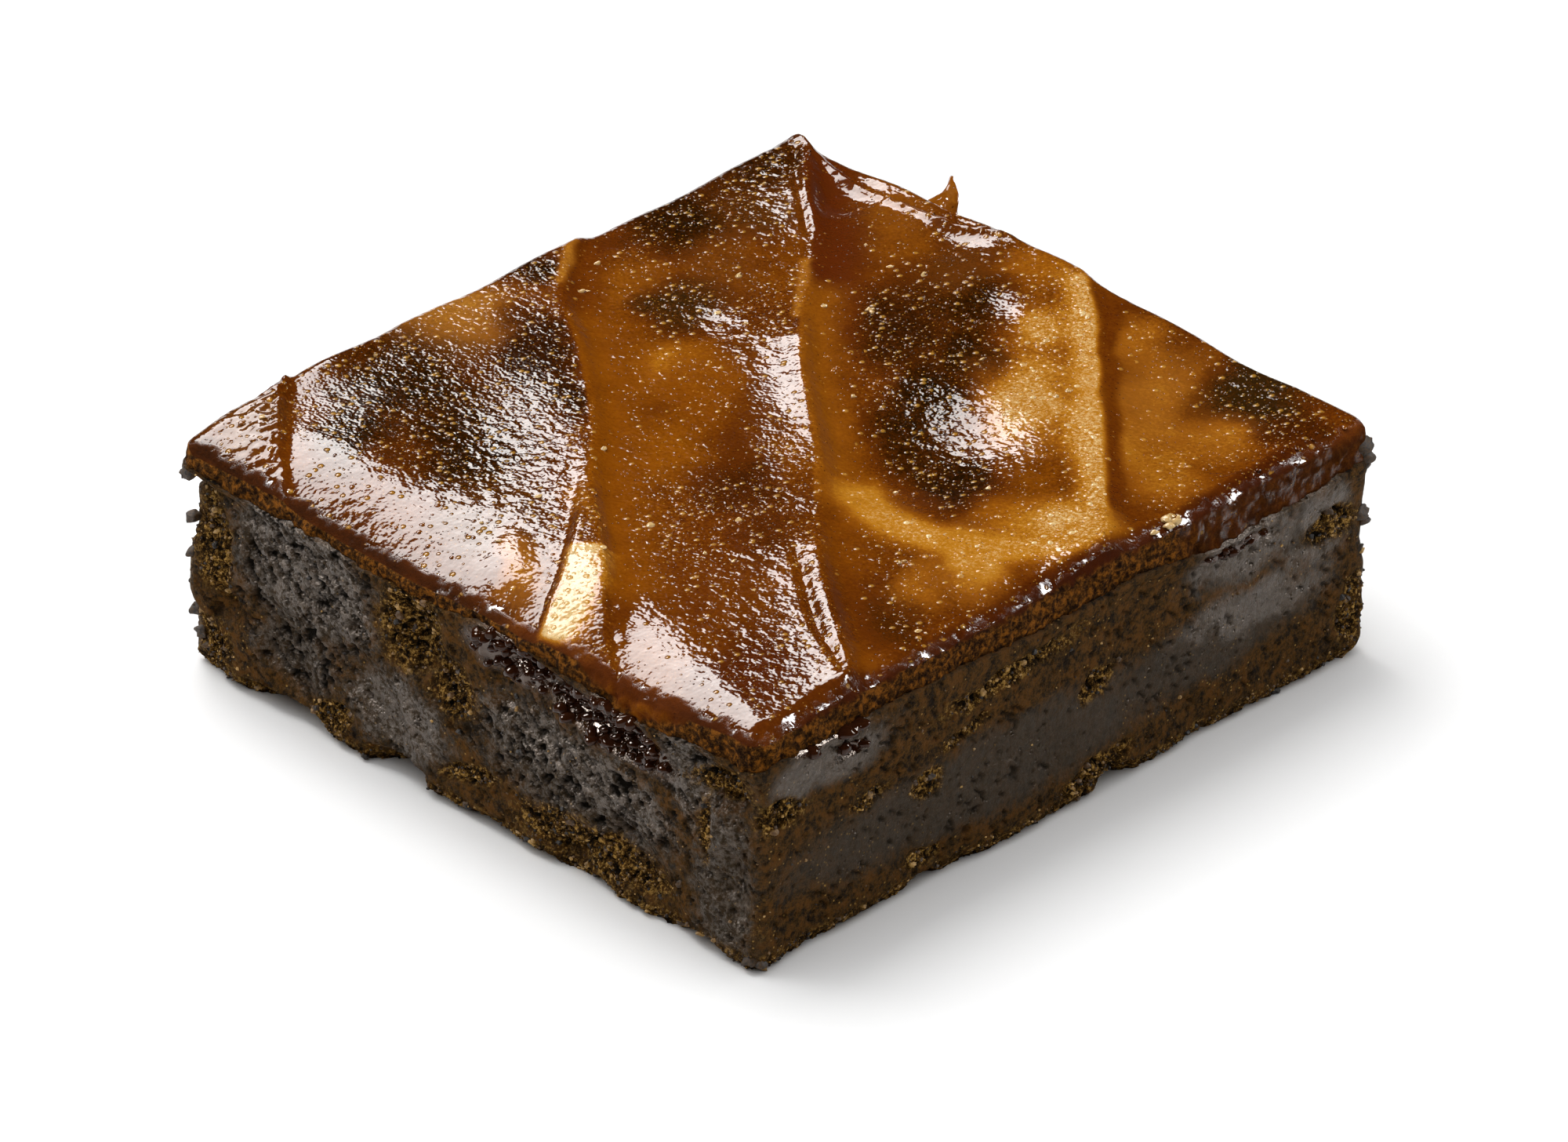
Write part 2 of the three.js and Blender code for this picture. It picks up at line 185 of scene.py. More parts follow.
def grain(points, size, seed):
    """Smooth noise of about -1 to 1 in space, with lumps of about one size."""
    place = np.asarray(points, float) / size
    cell = np.floor(place).astype(np.int64)
    part = place - cell
    fade = part**3 * (part * (part * 6 - 15) + 10)
    total = np.zeros(len(place))
    for corner in itertools.product((0, 1), repeat=3):
        node = cell + np.array(corner)
        mixed = scrambled(node[:, 0] * 73856093 ^ node[:, 1] * 19349663 ^ node[:, 2] * 83492791 ^ seed * 7919)
        slopes = np.stack([((mixed >> shift) & 1023) / 511.5 - 1 for shift in (0, 10, 20)], axis=1)
        weight = np.prod(np.where(np.array(corner) == 1, fade, 1 - fade), axis=1)
        total += weight * np.sum(slopes * (part - np.array(corner)), axis=1)
    return 1.7 * total


def flat_grain(x, y, size, seed):
    """The same noise over a plane."""
    return grain(np.stack([x, y, 0 * x], 1), size, seed)


def layered(points, size, seed, keep=0.5):
    """Noise with finer noise on it: each layer is half as large, and keeps a share of the strength."""
    return sum(keep**n * grain(points, size / 2**n, seed + 31 * n) for n in range(NOISE_LAYERS))


def dome(distance):
    """1 at distance 0 and 0 from distance 1 on."""
    t = np.maximum(0, 1 - distance * distance)
    return t * t


def smoothstep(value, low, high):
    t = np.clip((value - low) / (high - low), 0, 1)
    return t * t * (3 - 2 * t)


def blend(a, b, share):
    return a + (b - a) * share


def smooth_line(path, steps=9):
    """A Catmull-Rom curve through a path's points, as a list of points."""
    knots = np.array([path[0], *path, path[-1]], float)
    t = np.arange(steps)[:, None] / steps
    spans = []
    for a, b, c, d in zip(knots, knots[1:], knots[2:], knots[3:]):
        bend = 2 * a - 5 * b + 4 * c - d
        twist = 3 * b - a - 3 * c + d
        spans.append(0.5 * (2 * b + (c - a) * t + bend * t**2 + twist * t**3))
    return np.vstack([*spans, knots[-1:]])


def line_distance(path, x, y):
    """The distance to a path, negative on its left, and how far along it that is, 0 to 1."""
    line = smooth_line(path)
    nearest = np.full(x.shape, np.inf)
    side = np.ones(x.shape)
    where = np.zeros(x.shape)
    for n, (a, b) in enumerate(zip(line, line[1:])):
        dx, dy = b - a
        t = np.clip(((x - a[0]) * dx + (y - a[1]) * dy) / (dx * dx + dy * dy), 0, 1)
        gap = np.hypot(x - a[0] - t * dx, y - a[1] - t * dy)
        closer = gap < nearest
        nearest = np.where(closer, gap, nearest)
        side = np.where(closer, np.where(dx * (y - a[1]) - dy * (x - a[0]) > 0, 1, -1), side)
        where = np.where(closer, (n + t) / (len(line) - 1), where)
    return side * nearest, where


def crest_distance(name, x, y):
    """What line_distance gives for a ridge's crest."""
    return line_distance([point[:2] for point in RIDGES[name][1]], x, y)


def stroke_axes(x, y):
    """How far a step goes along and across the strokes."""
    return (x - y) / math.sqrt(2), (x + y) / math.sqrt(2)


def patch_distance(x, y, centre_x, centre_y, half_along, half_across):
    """The distance to the centre of an oval patch, 1 at its border."""
    along, across = stroke_axes(x - centre_x, y - centre_y)
    return np.hypot(along / half_along, across / half_across)


def outward(x, y, reach):
    """The way out of the block: of length 1 at the outline, and fading to 0 at a depth of one reach."""
    ox = (x - np.clip(x, reach - WIDTH / 2, WIDTH / 2 - reach)) / reach
    oy = (y - np.clip(y, reach - DEPTH / 2, DEPTH / 2 - reach)) / reach
    length = np.maximum(1, np.hypot(ox, oy))
    return ox / length, oy / length


# The frosting's shape


def rolled(roll, distance):
    width, drop = roll
    return drop * np.maximum(0, 1 - distance / width) ** 2


def ridge_relief(x, y):
    height = UNEVENNESS * wander(x, y, 0, 14, 3.3)
    for name, (steep, crest) in RIDGES.items():
        d, where = crest_distance(name, x, y)
        knots = np.linspace(0, 1, len(crest))
        rise, gentle = [np.interp(where, knots, column) for column in list(zip(*crest))[2:]]
        if steep < 1:
            rise = rise * (1 + 0.6 * flat_grain(x, y, 1, 17))
        height = height + rise * np.where(d < 0, np.exp(d / gentle), np.exp(-((d / steep) ** 2)))
    for *place, rise in SWELLS:
        height = height + rise * dome(patch_distance(x, y, *place))
    return height


def folded_lip(x, y):
    """The flap folded over at the front of the left stroke: steep on its left, level on its right."""
    d, where = line_distance(FOLDED_LIP, x, y)
    past_crest = np.maximum(0, crest_distance("left stroke", x, y)[0])
    right = np.exp(-((d / 8) ** 2)) * np.exp(-((past_crest / 0.5) ** 2))
    return 0.65 * smoothstep(where, 0.02, 0.4) * np.where(d < 0, np.exp(-((d / 0.45) ** 2)), right)


def slits(x, y):
    depth = 0
    for path, width, deep in SLITS:
        d, where = line_distance(path, x, y)
        ends = smoothstep(where, 0, 0.2) * (1 - smoothstep(where, 0.9, 1))
        uneven = 0.75 + 0.6 * flat_grain(x, y, 1.4, 18)
        depth = depth + deep * ends * uneven * np.exp(-((d / width) ** 2))
    return depth


def rim_lumps(x, y):
    """Lumps along the right and front edges, where the frosting set in beads."""
    right = 0.35 * flat_grain(x, y, 2.6, 14) + 0.1 * flat_grain(x, y, 0.9, 15)
    front = 0.1 * flat_grain(x, y, 1.3, 16)
    return smoothstep(x, 32.4, 34.4) * right + smoothstep(-y, 35.2, 36.6) * front


# Where the frosting is smooth though it is dark: X, Y, half-lengths along and across the strokes
CALM_SPOTS = [(-28, -24, 10, 6), (-24, -9, 9, 4), (-2, 0, 10, 4)]


def calm_share(x, y):
    return np.maximum.reduce([1 - smoothstep(patch_distance(x, y, *spot), 0.5, 1.2) for spot in CALM_SPOTS])


def spread_texture(x, y):
    """What the knife leaves on the frosting: ripples across the strokes, and a slight orange peel."""
    along, across = stroke_axes(x, y)
    ripples = flat_grain(along / 0.95, across / 1.7, 1, 11)
    fine = flat_grain(along / 0.5, across / 0.8, 1, 12)
    calm = smoothstep(y + DEPTH / 2, 2.5, 8) * (1 - 0.7 * calm_share(x, y))
    patch = 0.35 + 0.65 * smoothstep(wander(x, y, 0, 19, 8.1), -0.5, 0.6)
    return calm * patch * (0.032 * ripples + 0.014 * fine) + 0.01 * flat_grain(x, y, 0.9, 13)


def frosting_height(x, y):
    front = y + DEPTH / 2
    width = np.interp(x, *FRONT_ROLL_WIDTHS)
    roll = rolled((width, width * FRONT_ROLL_SLOPE / 2), front) + rolled(FRONT_EDGE_ROLL, front)
    roll = roll + rolled(RIGHT_ROLL, WIDTH / 2 - x) + rolled(LEFT_ROLL, WIDTH / 2 + x)
    roll = roll + rolled(BACK_ROLL, DEPTH / 2 - y)
    relief = ridge_relief(x, y) + folded_lip(x, y) - slits(x, y) + spread_texture(x, y) + rim_lumps(x, y)
    return CAKE_HEIGHT + FROSTING_THICKNESS + relief - roll


def frosting_depth(x, y):
    return 0.2 + 0.35 * (0.5 + 0.5 * wander(x, y, 0, 9, 2.2))


def lip_height(x, y):
    """The height of the frosting's lower edge, which hangs at the right corner and in a skin at the front."""
    hang = smoothstep(x, 30, 35) * dome((y - 24) / 19)
    skin = smoothstep(-y, 33, 36) * dome((x - 20.5) / 8)
    return LIP_LEVEL - 0.35 * wander(x, y, 0, 11, 5.7) - 1.5 * hang - 1.2 * skin


def grid_outline_point(u, v):
    """A point of the outline grid, from shares 0 to 1 of the width and depth, with rounded corners."""
    x = (u - 0.5) * WIDTH
    y = (v - 0.5) * DEPTH
    core_x = WIDTH / 2 - CORNER_RADIUS
    core_y = DEPTH / 2 - CORNER_RADIUS
    a = np.maximum(0, np.abs(x) - core_x) / CORNER_RADIUS
    b = np.maximum(0, np.abs(y) - core_y) / CORNER_RADIUS
    px = np.sign(x) * (np.minimum(np.abs(x), core_x) + CORNER_RADIUS * a * np.sqrt(1 - b * b / 2))
    py = np.sign(y) * (np.minimum(np.abs(y), core_y) + CORNER_RADIUS * b * np.sqrt(1 - a * a / 2))
    return px, py


# The cake's shape


def facing(way):
    """1 where a side looks one way, fading to 0 round the corners."""
    return smoothstep(way, 0.5, 0.95)


def hollow_depth(spots, x, y, z):
    depth = 0
    for cx, cy, cz, reach, height, slope, deep in spots:
        aside = np.hypot(x - cx, y - cy) * np.where(x + y < cx + cy, -1, 1)
        depth = depth + deep * dome(np.hypot(aside / reach, (z - cz - slope * aside) / height))
    return depth


def cake_depth(x, y, z):
    """How far the cake's side lies inside the outline, before its fine texture."""
    torn = blend(CLEAN_SHARE, 1, smoothstep(-outward(x, y, 3)[1], 0.2, 0.9))
    under_lip = lip_height(x, y) - z
    crags = CRAG_DEPTH * torn * np.maximum(0, wander(x, y, z, 7.5, 4.1))
    cut = CUT_WANDER * (0.5 + 0.5 * wander(x, y, z, 23, 1.3))
    depth = blend(frosting_depth(x, y) + 0.1, cut + crags, smoothstep(under_lip, 0, FLUSH_BAND))
    depth = depth - 0.4 * dome((under_lip - 0.3) / 1.6) + hollow_depth(HOLLOWS, x, y, z)
    for cx, cy, reach, height, deep in CHIPS:
        chip = dome(np.hypot(x - cx, y - cy) / reach) * (1 - smoothstep(z, 0.5 * height, height))
        depth = depth + deep * chip
    return depth + FOOT_INSET * (1 - smoothstep(z, 0, FOOT_HEIGHT))


# Zones of the cake's sides: place along the face, height, half-length, half-height and slope
CRUMBLY_ZONES = {
    "front": [
        (-31.2, 13.5, 2.6, 5, -0.8), (-35, 14, 1.8, 5.5, 0), (-33, 3.2, 4.5, 3.2, 0), (-6.5, 16, 4, 5, 0.3),
        (-1.2, 12.2, 3.4, 3, 0), (-16.5, 3, 2.8, 1.6, 0.2), (30.5, 16.6, 4.6, 1.5, 0.1),
        (0.5, 4.6, 4.2, 1.1, 0.35), (15, 3.8, 10, 2.6, 0), (28.3, 11.5, 0.7, 3.5, 0),
    ],
    "right": [
        (-34, 14.6, 4, 1.7, -0.1), (-23, 11.9, 2.4, 0.8, 0.1), (-16.6, 10.4, 2, 1.4, 0),
        (-12.5, 13.4, 3, 0.8, 0.1), (3.4, 11.4, 2.2, 1.4, 0), (3.2, 2.6, 4.4, 1.6, 0.1),
        (-17, 3, 2.6, 1, 0), (32, 14.4, 3.6, 1.8, 0), (35, 5, 2.6, 4, 0), (-7, 16.6, 9, 1.2, 0.05),
    ],
}
SMEARED_ZONES = {
    "front": [
        (-20, 15, 10, 8, 0), (-21, 6.5, 6, 3.5, 0), (-8, 6.4, 7, 4.8, 0), (13, 9.5, 13, 5.5, -0.1),
        (31, 7.5, 4.2, 8.5, 0), (26, 17, 3, 5, 0),
    ],
    "right": [
        (-28, 17.6, 8, 3, 0), (20, 16.4, 6.5, 3.4, 0), (30, 15, 6, 4, 0), (-10, 8, 26, 4.5, 0),
        (18, 9, 14, 4, 0.05),
    ],
}
WET_ZONES = {
    "front": [(5.5, 17.9, 5.4, 2.4, -0.12), (17.4, 16.6, 8, 2.5, -0.12)],
    "right": [
        (-26.6, 20.4, 4.2, 1, 0.06), (-25.6, 17.6, 1.8, 0.8, 0.1), (-30.5, 20, 2, 0.7, 0),
        (20, 17.4, 4.5, 0.6, 0.05),
    ],
}

# Where the smears shine most, where they are nearly free of pits, and where they are rippled
BRIGHT_ZONES = {
    "front": [
        (-18, 16, 9, 6, -0.3), (-34, 9, 3, 4, 0), (-8, 6.4, 6, 3.5, 0), (6, 13, 5, 4, -0.4),
        (17, 11, 9, 3, -0.1), (26, 14, 4, 5, 0),
    ],
    "right": [(-28, 17.6, 7, 3, 0), (21, 16.4, 7, 3.6, 0), (24, 11, 11, 3, -0.1), (31, 18, 4, 3, 0)],
}
CALM_ZONES = {"front": [(-7.5, 6.6, 7.5, 4.6, 0), (31, 7.5, 4.6, 9, 0)]}
RIPPLED_ZONES = {
    "front": [(31, 8, 4, 7, 0)],
    "right": [(20.5, 16.8, 6.5, 3, 0), (-27, 18.4, 6, 2.6, 0)],
}


class SideLook:
    """The zones of the cake's sides at a set of points, and the pits and fine relief there."""

    def __init__(self, x, y, z, ox, oy):
        self.u = x + y
        self.z = z
        self.points = np.stack([x, y, z], 1)
        self.ragged = 1.2 * grain(self.points, 2.4, 21) + 0.5 * grain(self.points, 0.8, 22)
        self.torn = facing(-oy)
        right = facing(ox)
        self.faces = {"front": (x, self.torn), "right": (y, right)}
        hidden = 1 - np.maximum(self.torn, right)
        strewn = 0.7 * hidden * smoothstep(wander(x, y, z, 9, 6.6) + 0.5 * self.ragged, 0.45, 1.2)
        bottom = 1 - smoothstep(z, 0.7, 2.2)
        self.wet = self.zone(WET_ZONES, (0.3, 0), 0.3)
        crumbly = np.maximum.reduce([self.zone(CRUMBLY_ZONES, (0.5, 0.5), 0.5), strewn, 0.8 * bottom])
        self.crumbly = crumbly * (1 - self.wet)
        clean = (1 - self.crumbly) * (1 - self.wet)
        self.smeared = np.maximum(self.zone(SMEARED_ZONES, (1, 1), 0.6), 0.6 * hidden) * clean
        self.pits = self.pitted()
        bright = self.zone(BRIGHT_ZONES, (1, 1), 1)
        self.sheen = self.smeared * blend(blend(0.42, 0.26, right), 1, bright) + 0.05 * clean

    def zone(self, zones, stray=(0, 0), climb=0):
        """How much of a kind of zone each point is in, 0 to 1. Stray and climb roughen its border."""
        mask = np.zeros(self.z.shape)
        z = self.z + climb * self.ragged
        for (face, rows), shift in zip(zones.items(), stray):
            along, share = self.faces[face]
            u = along + shift * self.ragged
            for at_u, at_z, half_u, half_z, slope in rows:
                away = np.hypot((u - at_u) / half_u, (z - at_z - slope * (u - at_u)) / half_z)
                mask = np.maximum(mask, share * (1 - smoothstep(away, 0.6, 1.15)))
        return mask

    def slanting(self, length, height, seed):
        """Noise whose grains run down to the right on the front face."""
        return flat_grain((self.u - 0.7 * self.z) / length, (self.z + 0.7 * self.u) / height, 1, seed)

    def pitted(self):
        """The pits that the torn crumb leaves, 0 to 1. They are dug into the side and painted dark as shade.
        """
        points = self.points
        mottle = 0.35 * grain(points, 0.5, 29) + 0.5 * grain(points, 2.6, 30)
        mottle = mottle + 1.1 * self.slanting(1.5, 0.5, 28)
        calm = self.zone(CALM_ZONES)
        share = self.torn * (1 - 0.85 * calm) * (0.25 + 0.75 * self.smeared) + 0.06 * (1 - self.torn)
        pits = np.clip(4.5 * (mottle - blend(0.55, 0.06, share)), 0, 1) * blend(0.6, 1, share)
        holes = np.clip(2.4 * (grain(points, 0.9, 37) + 0.6 * grain(points, 0.45, 38) - 0.1), 0, 1)
        return np.maximum(pits * (1 - self.crumbly), self.crumbly * holes) * (1 - self.wet)

    def relief(self):
        """The fine relief, as a depth."""
        knife = flat_grain(self.u / 0.8, self.z / 9, 1, 24)
        rough = layered(self.points, 2.2, 26)
        lumps = grain(self.points, 0.9, 27)
        front = 0.16 * rough + 0.16 * self.smeared * self.slanting(3.2, 0.8, 23)
        side = 0.07 * rough + 0.05 * self.smeared * knife
        ripples = 0.3 * flat_grain(self.u / 1.3, self.z / 2.2, 1, 39) + 0.12 * lumps
        depth = self.crumbly * (0.2 + 0.3 * layered(self.points, 1.3, 25, keep=0.65)) + 0.45 * self.pits
        depth = depth + blend(side, front, self.torn) + self.zone(RIPPLED_ZONES) * ripples
        return depth + self.wet * (0.25 * lumps + 0.1)


# Meshes


def mesh_piece(name, points, faces, material, values, smooth=True, caps=()):
    """An object from points in millimetres, with named numbers at its points for the material to read."""
    mesh = bpy.data.meshes.new(name)
    mesh.from_pydata((points * MM).tolist(), [], faces.tolist() + [list(cap) for cap in caps])
    for label, numbers in values.items():
        attribute = mesh.attributes.new(label, "FLOAT", "POINT")
        attribute.data.foreach_set("value", np.full(len(points), numbers, np.float32))
    if smooth:
        mesh.shade_smooth()
    mesh.materials.append(material)
    piece = bpy.data.objects.new(name, mesh)
    bpy.context.scene.collection.objects.link(piece)
    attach(piece, "root")
    return piece


def wall_faces(rings, count, first=0):
    """Faces between closed rings of points, each ring above the one before it, anticlockwise from above."""
    ring = np.arange(rings - 1)[:, None] * count + first
    a = ring + np.arange(count)
    b = ring + (np.arange(count) + 1) % count
    return np.stack([a, b, b + count, a + count], -1).reshape(-1, 4)


def end_caps(count, length):
    """The face that closes the first ring of a mesh, and the one that closes the last."""
    return range(count - 1, -1, -1), range(length - count, length)


def outline_rows():
    """Points on the block's outline, anticlockwise from the front left corner."""
    half_x = WIDTH / 2 - CORNER_RADIUS
    half_y = DEPTH / 2 - CORNER_RADIUS
    runs = [
        ((-half_x, -DEPTH / 2), (half_x, -DEPTH / 2), FRONT_STEP),
        ((WIDTH / 2, -half_y), (WIDTH / 2, half_y), RIGHT_STEP),
        ((half_x, DEPTH / 2), (-half_x, DEPTH / 2), HIDDEN_STEP),
        ((-WIDTH / 2, half_y), (-WIDTH / 2, -half_y), HIDDEN_STEP),
    ]
    corners = [(half_x, -half_y), (half_x, half_y), (-half_x, half_y), (-half_x, -half_y)]
    points = []
    arc = round(CORNER_RADIUS * math.pi / 2 / FRONT_STEP)
    for n, (start, end, step) in enumerate(runs):
        count = round(math.dist(start, end) / step)
        for share in np.arange(count) / count:
            points.append(blend(np.array(start), np.array(end), share))
        for turn in (n - 1 + np.arange(arc) / arc) * math.pi / 2:
            points.append(np.array(corners[n]) + CORNER_RADIUS * np.array([math.cos(turn), math.sin(turn)]))
    return np.array(points).T


def cake_point(x, y, share):
    """A point of the cake's side at a share of its height, with the look there."""
    top = lip_height(x, y) - 0.05
    z = share * top
    ox, oy = outward(x, y, CORE_REACH)
    look = SideLook(x, y, z, ox, oy)
    fine = look.relief() + hollow_depth(PITS, x, y, z)
    depth = np.maximum(cake_depth(x, y, z) + fine * smoothstep(top - z, 0, 0.6), -0.25)
    return np.stack([x - ox * depth, y - oy * depth, z], 1), look


def make_cake(material):
    x, y = outline_rows()
    count = len(x)
    shares = np.linspace(0, 1, SIDE_ROWS) ** 0.97
    side, look = cake_point(np.tile(x, SIDE_ROWS), np.tile(y, SIDE_ROWS), np.repeat(shares, count))
    ox, oy = outward(x, y, CORE_REACH)
    under = [np.stack([x * share, y * share, 0 * x], 1) for share in UNDERSIDE_RINGS]
    top = np.stack([x - ox * TOP_INSET, y - oy * TOP_INSET, np.full(count, CAKE_HEIGHT - 0.4)], 1)
    points = np.vstack([*under, side, top])
    padding = (len(under) * count, count)
    values = {label: np.pad(getattr(look, label), padding) for label in CAKE_VALUES}
    faces = wall_faces(SIDE_ROWS + len(under) + 1, count)
    caps = end_caps(count, len(points))
    piece = mesh_piece("cake_block", points, faces, material, values, caps=caps)
    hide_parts("cake")


def skirt_points(x, y, z):
    """Rings of points up the frosting's side, from the tucked-in lower edge to just under its top border."""
    ox, oy = outward(x, y, CORE_REACH)
    depth = frosting_depth(x, y) + CHEEK
    low = lip_height(x, y) - 0.2 + 0.45 * flat_grain(x, y, 2.2, 41) + 0.3 * flat_grain(x, y, 0.8, 42)
    rings = [np.stack([x - ox * TUCK, y - oy * TUCK, low + 0.3], 1)]
    for share in np.linspace(1, 0, SKIRT_ROWS)[:-1]:
        height = blend(low, z, 1 - share**1.35)
        spots = np.stack([x, y, height], 1)
        lumps = 0.3 * grain(spots, 1.6, 43) + 0.24 * grain(spots, 0.7, 44)
        bulge = CHEEK * min(1, 2.2 * share) ** 0.7
        out = depth - 0.85 * bulge - lumps * math.sin(math.pi * min(0.5, share))
        rings.append(np.stack([x - ox * out, y - oy * out, height], 1))
    return np.vstack(rings)


def rim_masks(points, skirt):
    """Where the frosting is caked with crumbs, and where it is matt, 0 to 1. Skirt is 1 on its side."""
    x, y, z = points.T
    ragged = 0.5 * grain(points, 1.8, 45) + 0.3 * grain(points, 0.7, 46)
    drape = 3 * dome((x - 20) / 9) * smoothstep(-y, 30, 34)
    right_band = smoothstep(x, 30, 32) * smoothstep(y, 12, 16)
    caked = smoothstep(22.4 + ragged - drape - z, 0, 0.6) * skirt * (1 - 0.8 * right_band)
    front = smoothstep(-y + 0.5 * grain(points, 1.6, 49) + 0.3 * grain(points, 0.6, 57), 35.2, 35.6)
    front = front * smoothstep(grain(points, 0.7, 59) + 0.6 * grain(points, 2.2, 60), -0.75, -0.6)
    right = smoothstep(x + 0.5 * grain(points, 0.8, 50), 33.3, 34)
    right = right * smoothstep(grain(points, 1.3, 47) + 0.6 * grain(points, 0.6, 48), -0.3, 0.1)
    glossy = right_band * smoothstep(grain(points, 1.0, 56) + 0.5 * grain(points, 0.5, 58), -0.1, 0.1)
    return caked, np.maximum.reduce([caked, front, right, skirt * (1 - glossy)])


def make_frosting(material):
    nx, ny = TOP_CELLS
    u, v = np.meshgrid(np.arange(nx + 1) / nx, np.arange(ny + 1) / ny, indexing="ij")
    x, y = grid_outline_point(u.ravel(), v.ravel())
    ox, oy = outward(x, y, CORE_REACH)
    inset = frosting_depth(x, y) + CHEEK
    top = np.stack([x - ox * inset, y - oy * inset, frosting_height(x, y)], 1)
    index = np.arange(len(top)).reshape(nx + 1, ny + 1)
    cells = np.stack([index[:-1, :-1], index[1:, :-1], index[1:, 1:], index[:-1, 1:]], -1).reshape(-1, 4)
    border = np.concatenate([index[:-1, 0], index[-1, :-1], index[:0:-1, -1], index[0, :0:-1]])
    count = len(border)
    points = np.vstack([top, skirt_points(x[border], y[border], top[border, 2])])
    last = len(points) - count + np.arange(count)
    seam = np.stack([last, np.roll(last, -1), np.roll(border, -1), border], -1)
    faces = np.vstack([cells, wall_faces(SKIRT_ROWS, count, len(top)), seam])
    underside = range(len(top) + count - 1, len(top) - 1, -1)
    tone, red, tan = frosting_paint(*points.T)
    caked, matt = rim_masks(points, np.arange(len(points)) >= len(top))
    values = {"tone": tone, "red": red, "tan": tan, "caked": caked, "matt": matt}
    values["specks"] = speck_share(points[:, 0], points[:, 1], tone) * (1 - matt)
    values["calm"] = calm_share(points[:, 0], points[:, 1])
    piece = mesh_piece("frosting_spread", points, faces, material, values, caps=[underside])
    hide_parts("frosting")


# The frosting's colour

# Tone runs from 0, dark and thin, over 0.4, brown, and 0.65, orange, to 0.85, gold, and 1, pale gold.
# Soft patches: X, Y, half-lengths along and across the strokes, tone, redness and tan
PATCHES = [
    (-33, 30, 7, 6, 0.1, 0, 0), (-31, 19, 9, 6, 0.06, 0, 0), (-26, 24, 6, 5, 0.24, 0, 0.1),
    (-22, 15, 8, 4.5, 0.46, 0.1, 0.1), (-26, 8, 6, 3.5, 0.56, 0.1, 0.1),
    (-20.5, 8.5, 4.5, 4.5, 0.1, 0, 0.1), (-13, 1, 6, 5, 0.72, 0, 0.1), (-8, -1, 9, 4, 0.6, 0.4, 0),
    (5, -9, 7, 4, 0.2, 0.3, 0), (-4, -10, 6, 4, 0.6, 0, 0), (-2, -20, 6, 2.5, 0.6, 0, 0.1),
    (12, -14, 7, 4, 0.3, 0.3, 0), (13, -22, 12, 6, 0.47, 0.6, 0), (27, -29, 8, 5, 0.24, 0.8, 0),
    (-32, -8, 8, 6, 0.7, 0, 0.8), (-32.5, 3.5, 3.5, 3.5, 0.08, 0, 0), (-22, -7, 9, 4.5, 0.03, 0.2, 0),
    (-15, -9.5, 6, 3, 0.05, 0.2, 0), (-27, -18, 10, 9, 0.07, 0, 0), (-15, -21, 12, 8, 0.06, 0, 0),
    (-24, -27, 7, 4, 0.05, 0, 0), (-5, -28, 9, 6, 0.22, 0, 0.1), (-33, -24, 4, 3, 0.36, 0.2, 0),
    (-32, -32, 6, 4, 0.35, 0.1, 0.3), (1, -31, 7, 2.2, 0.7, 0, 0.4), (-18, 32, 10, 5, 0.56, 0.2, 0.1),
    (-7, 29, 7, 5, 0.36, 0, 0.1), (-2, 34, 5, 4, 0.66, 0, 0.1), (-4, 19, 10, 5.5, 0.1, 0.1, 0),
    (-2, 26, 5, 4, 0.1, 0, 0), (3, 20, 6, 3, 0.06, 0, 0), (5, 13, 6, 4, 0.02, 0, 0),
    (8, 8, 9, 4.5, 0.08, 0, 0), (16, 5, 7, 4, 0.08, 0, 0), (12, 18, 9, 5, 0.88, 0, 0.5),
    (21, 18, 7, 5, 0.9, 0, 0.3), (5, 27, 5, 3, 0.86, 0, 0.4), (22, 9, 4, 3, 0.5, 0, 0),
    (24, 3, 4, 3, 0.7, 0, 0.1), (29, 5, 6, 5, 0.91, 0, 0.4), (28, -4, 7, 4, 0.84, 0, 0.4),
    (27, -10, 6, 3, 0.66, 0, 0.2), (30, -16, 6, 3.5, 0.24, 0, 0), (17, -9, 6, 3, 0.52, 0.3, 0),
    (20, 26, 12, 5, 0.68, 0, 0.4), (23, 29, 4, 4, 0.4, 0, 0.1), (28, 18, 8, 4, 0.72, 0.3, 0.2),
    (24, 34, 9, 5, 0.02, 0, 0.1), (31, 31, 4, 4, 0.16, 0.3, 0), (27, 25.5, 5, 4, 0.7, 0, 0.3),
    (12, 32, 5, 3, 0.68, 0, 0.2),
]
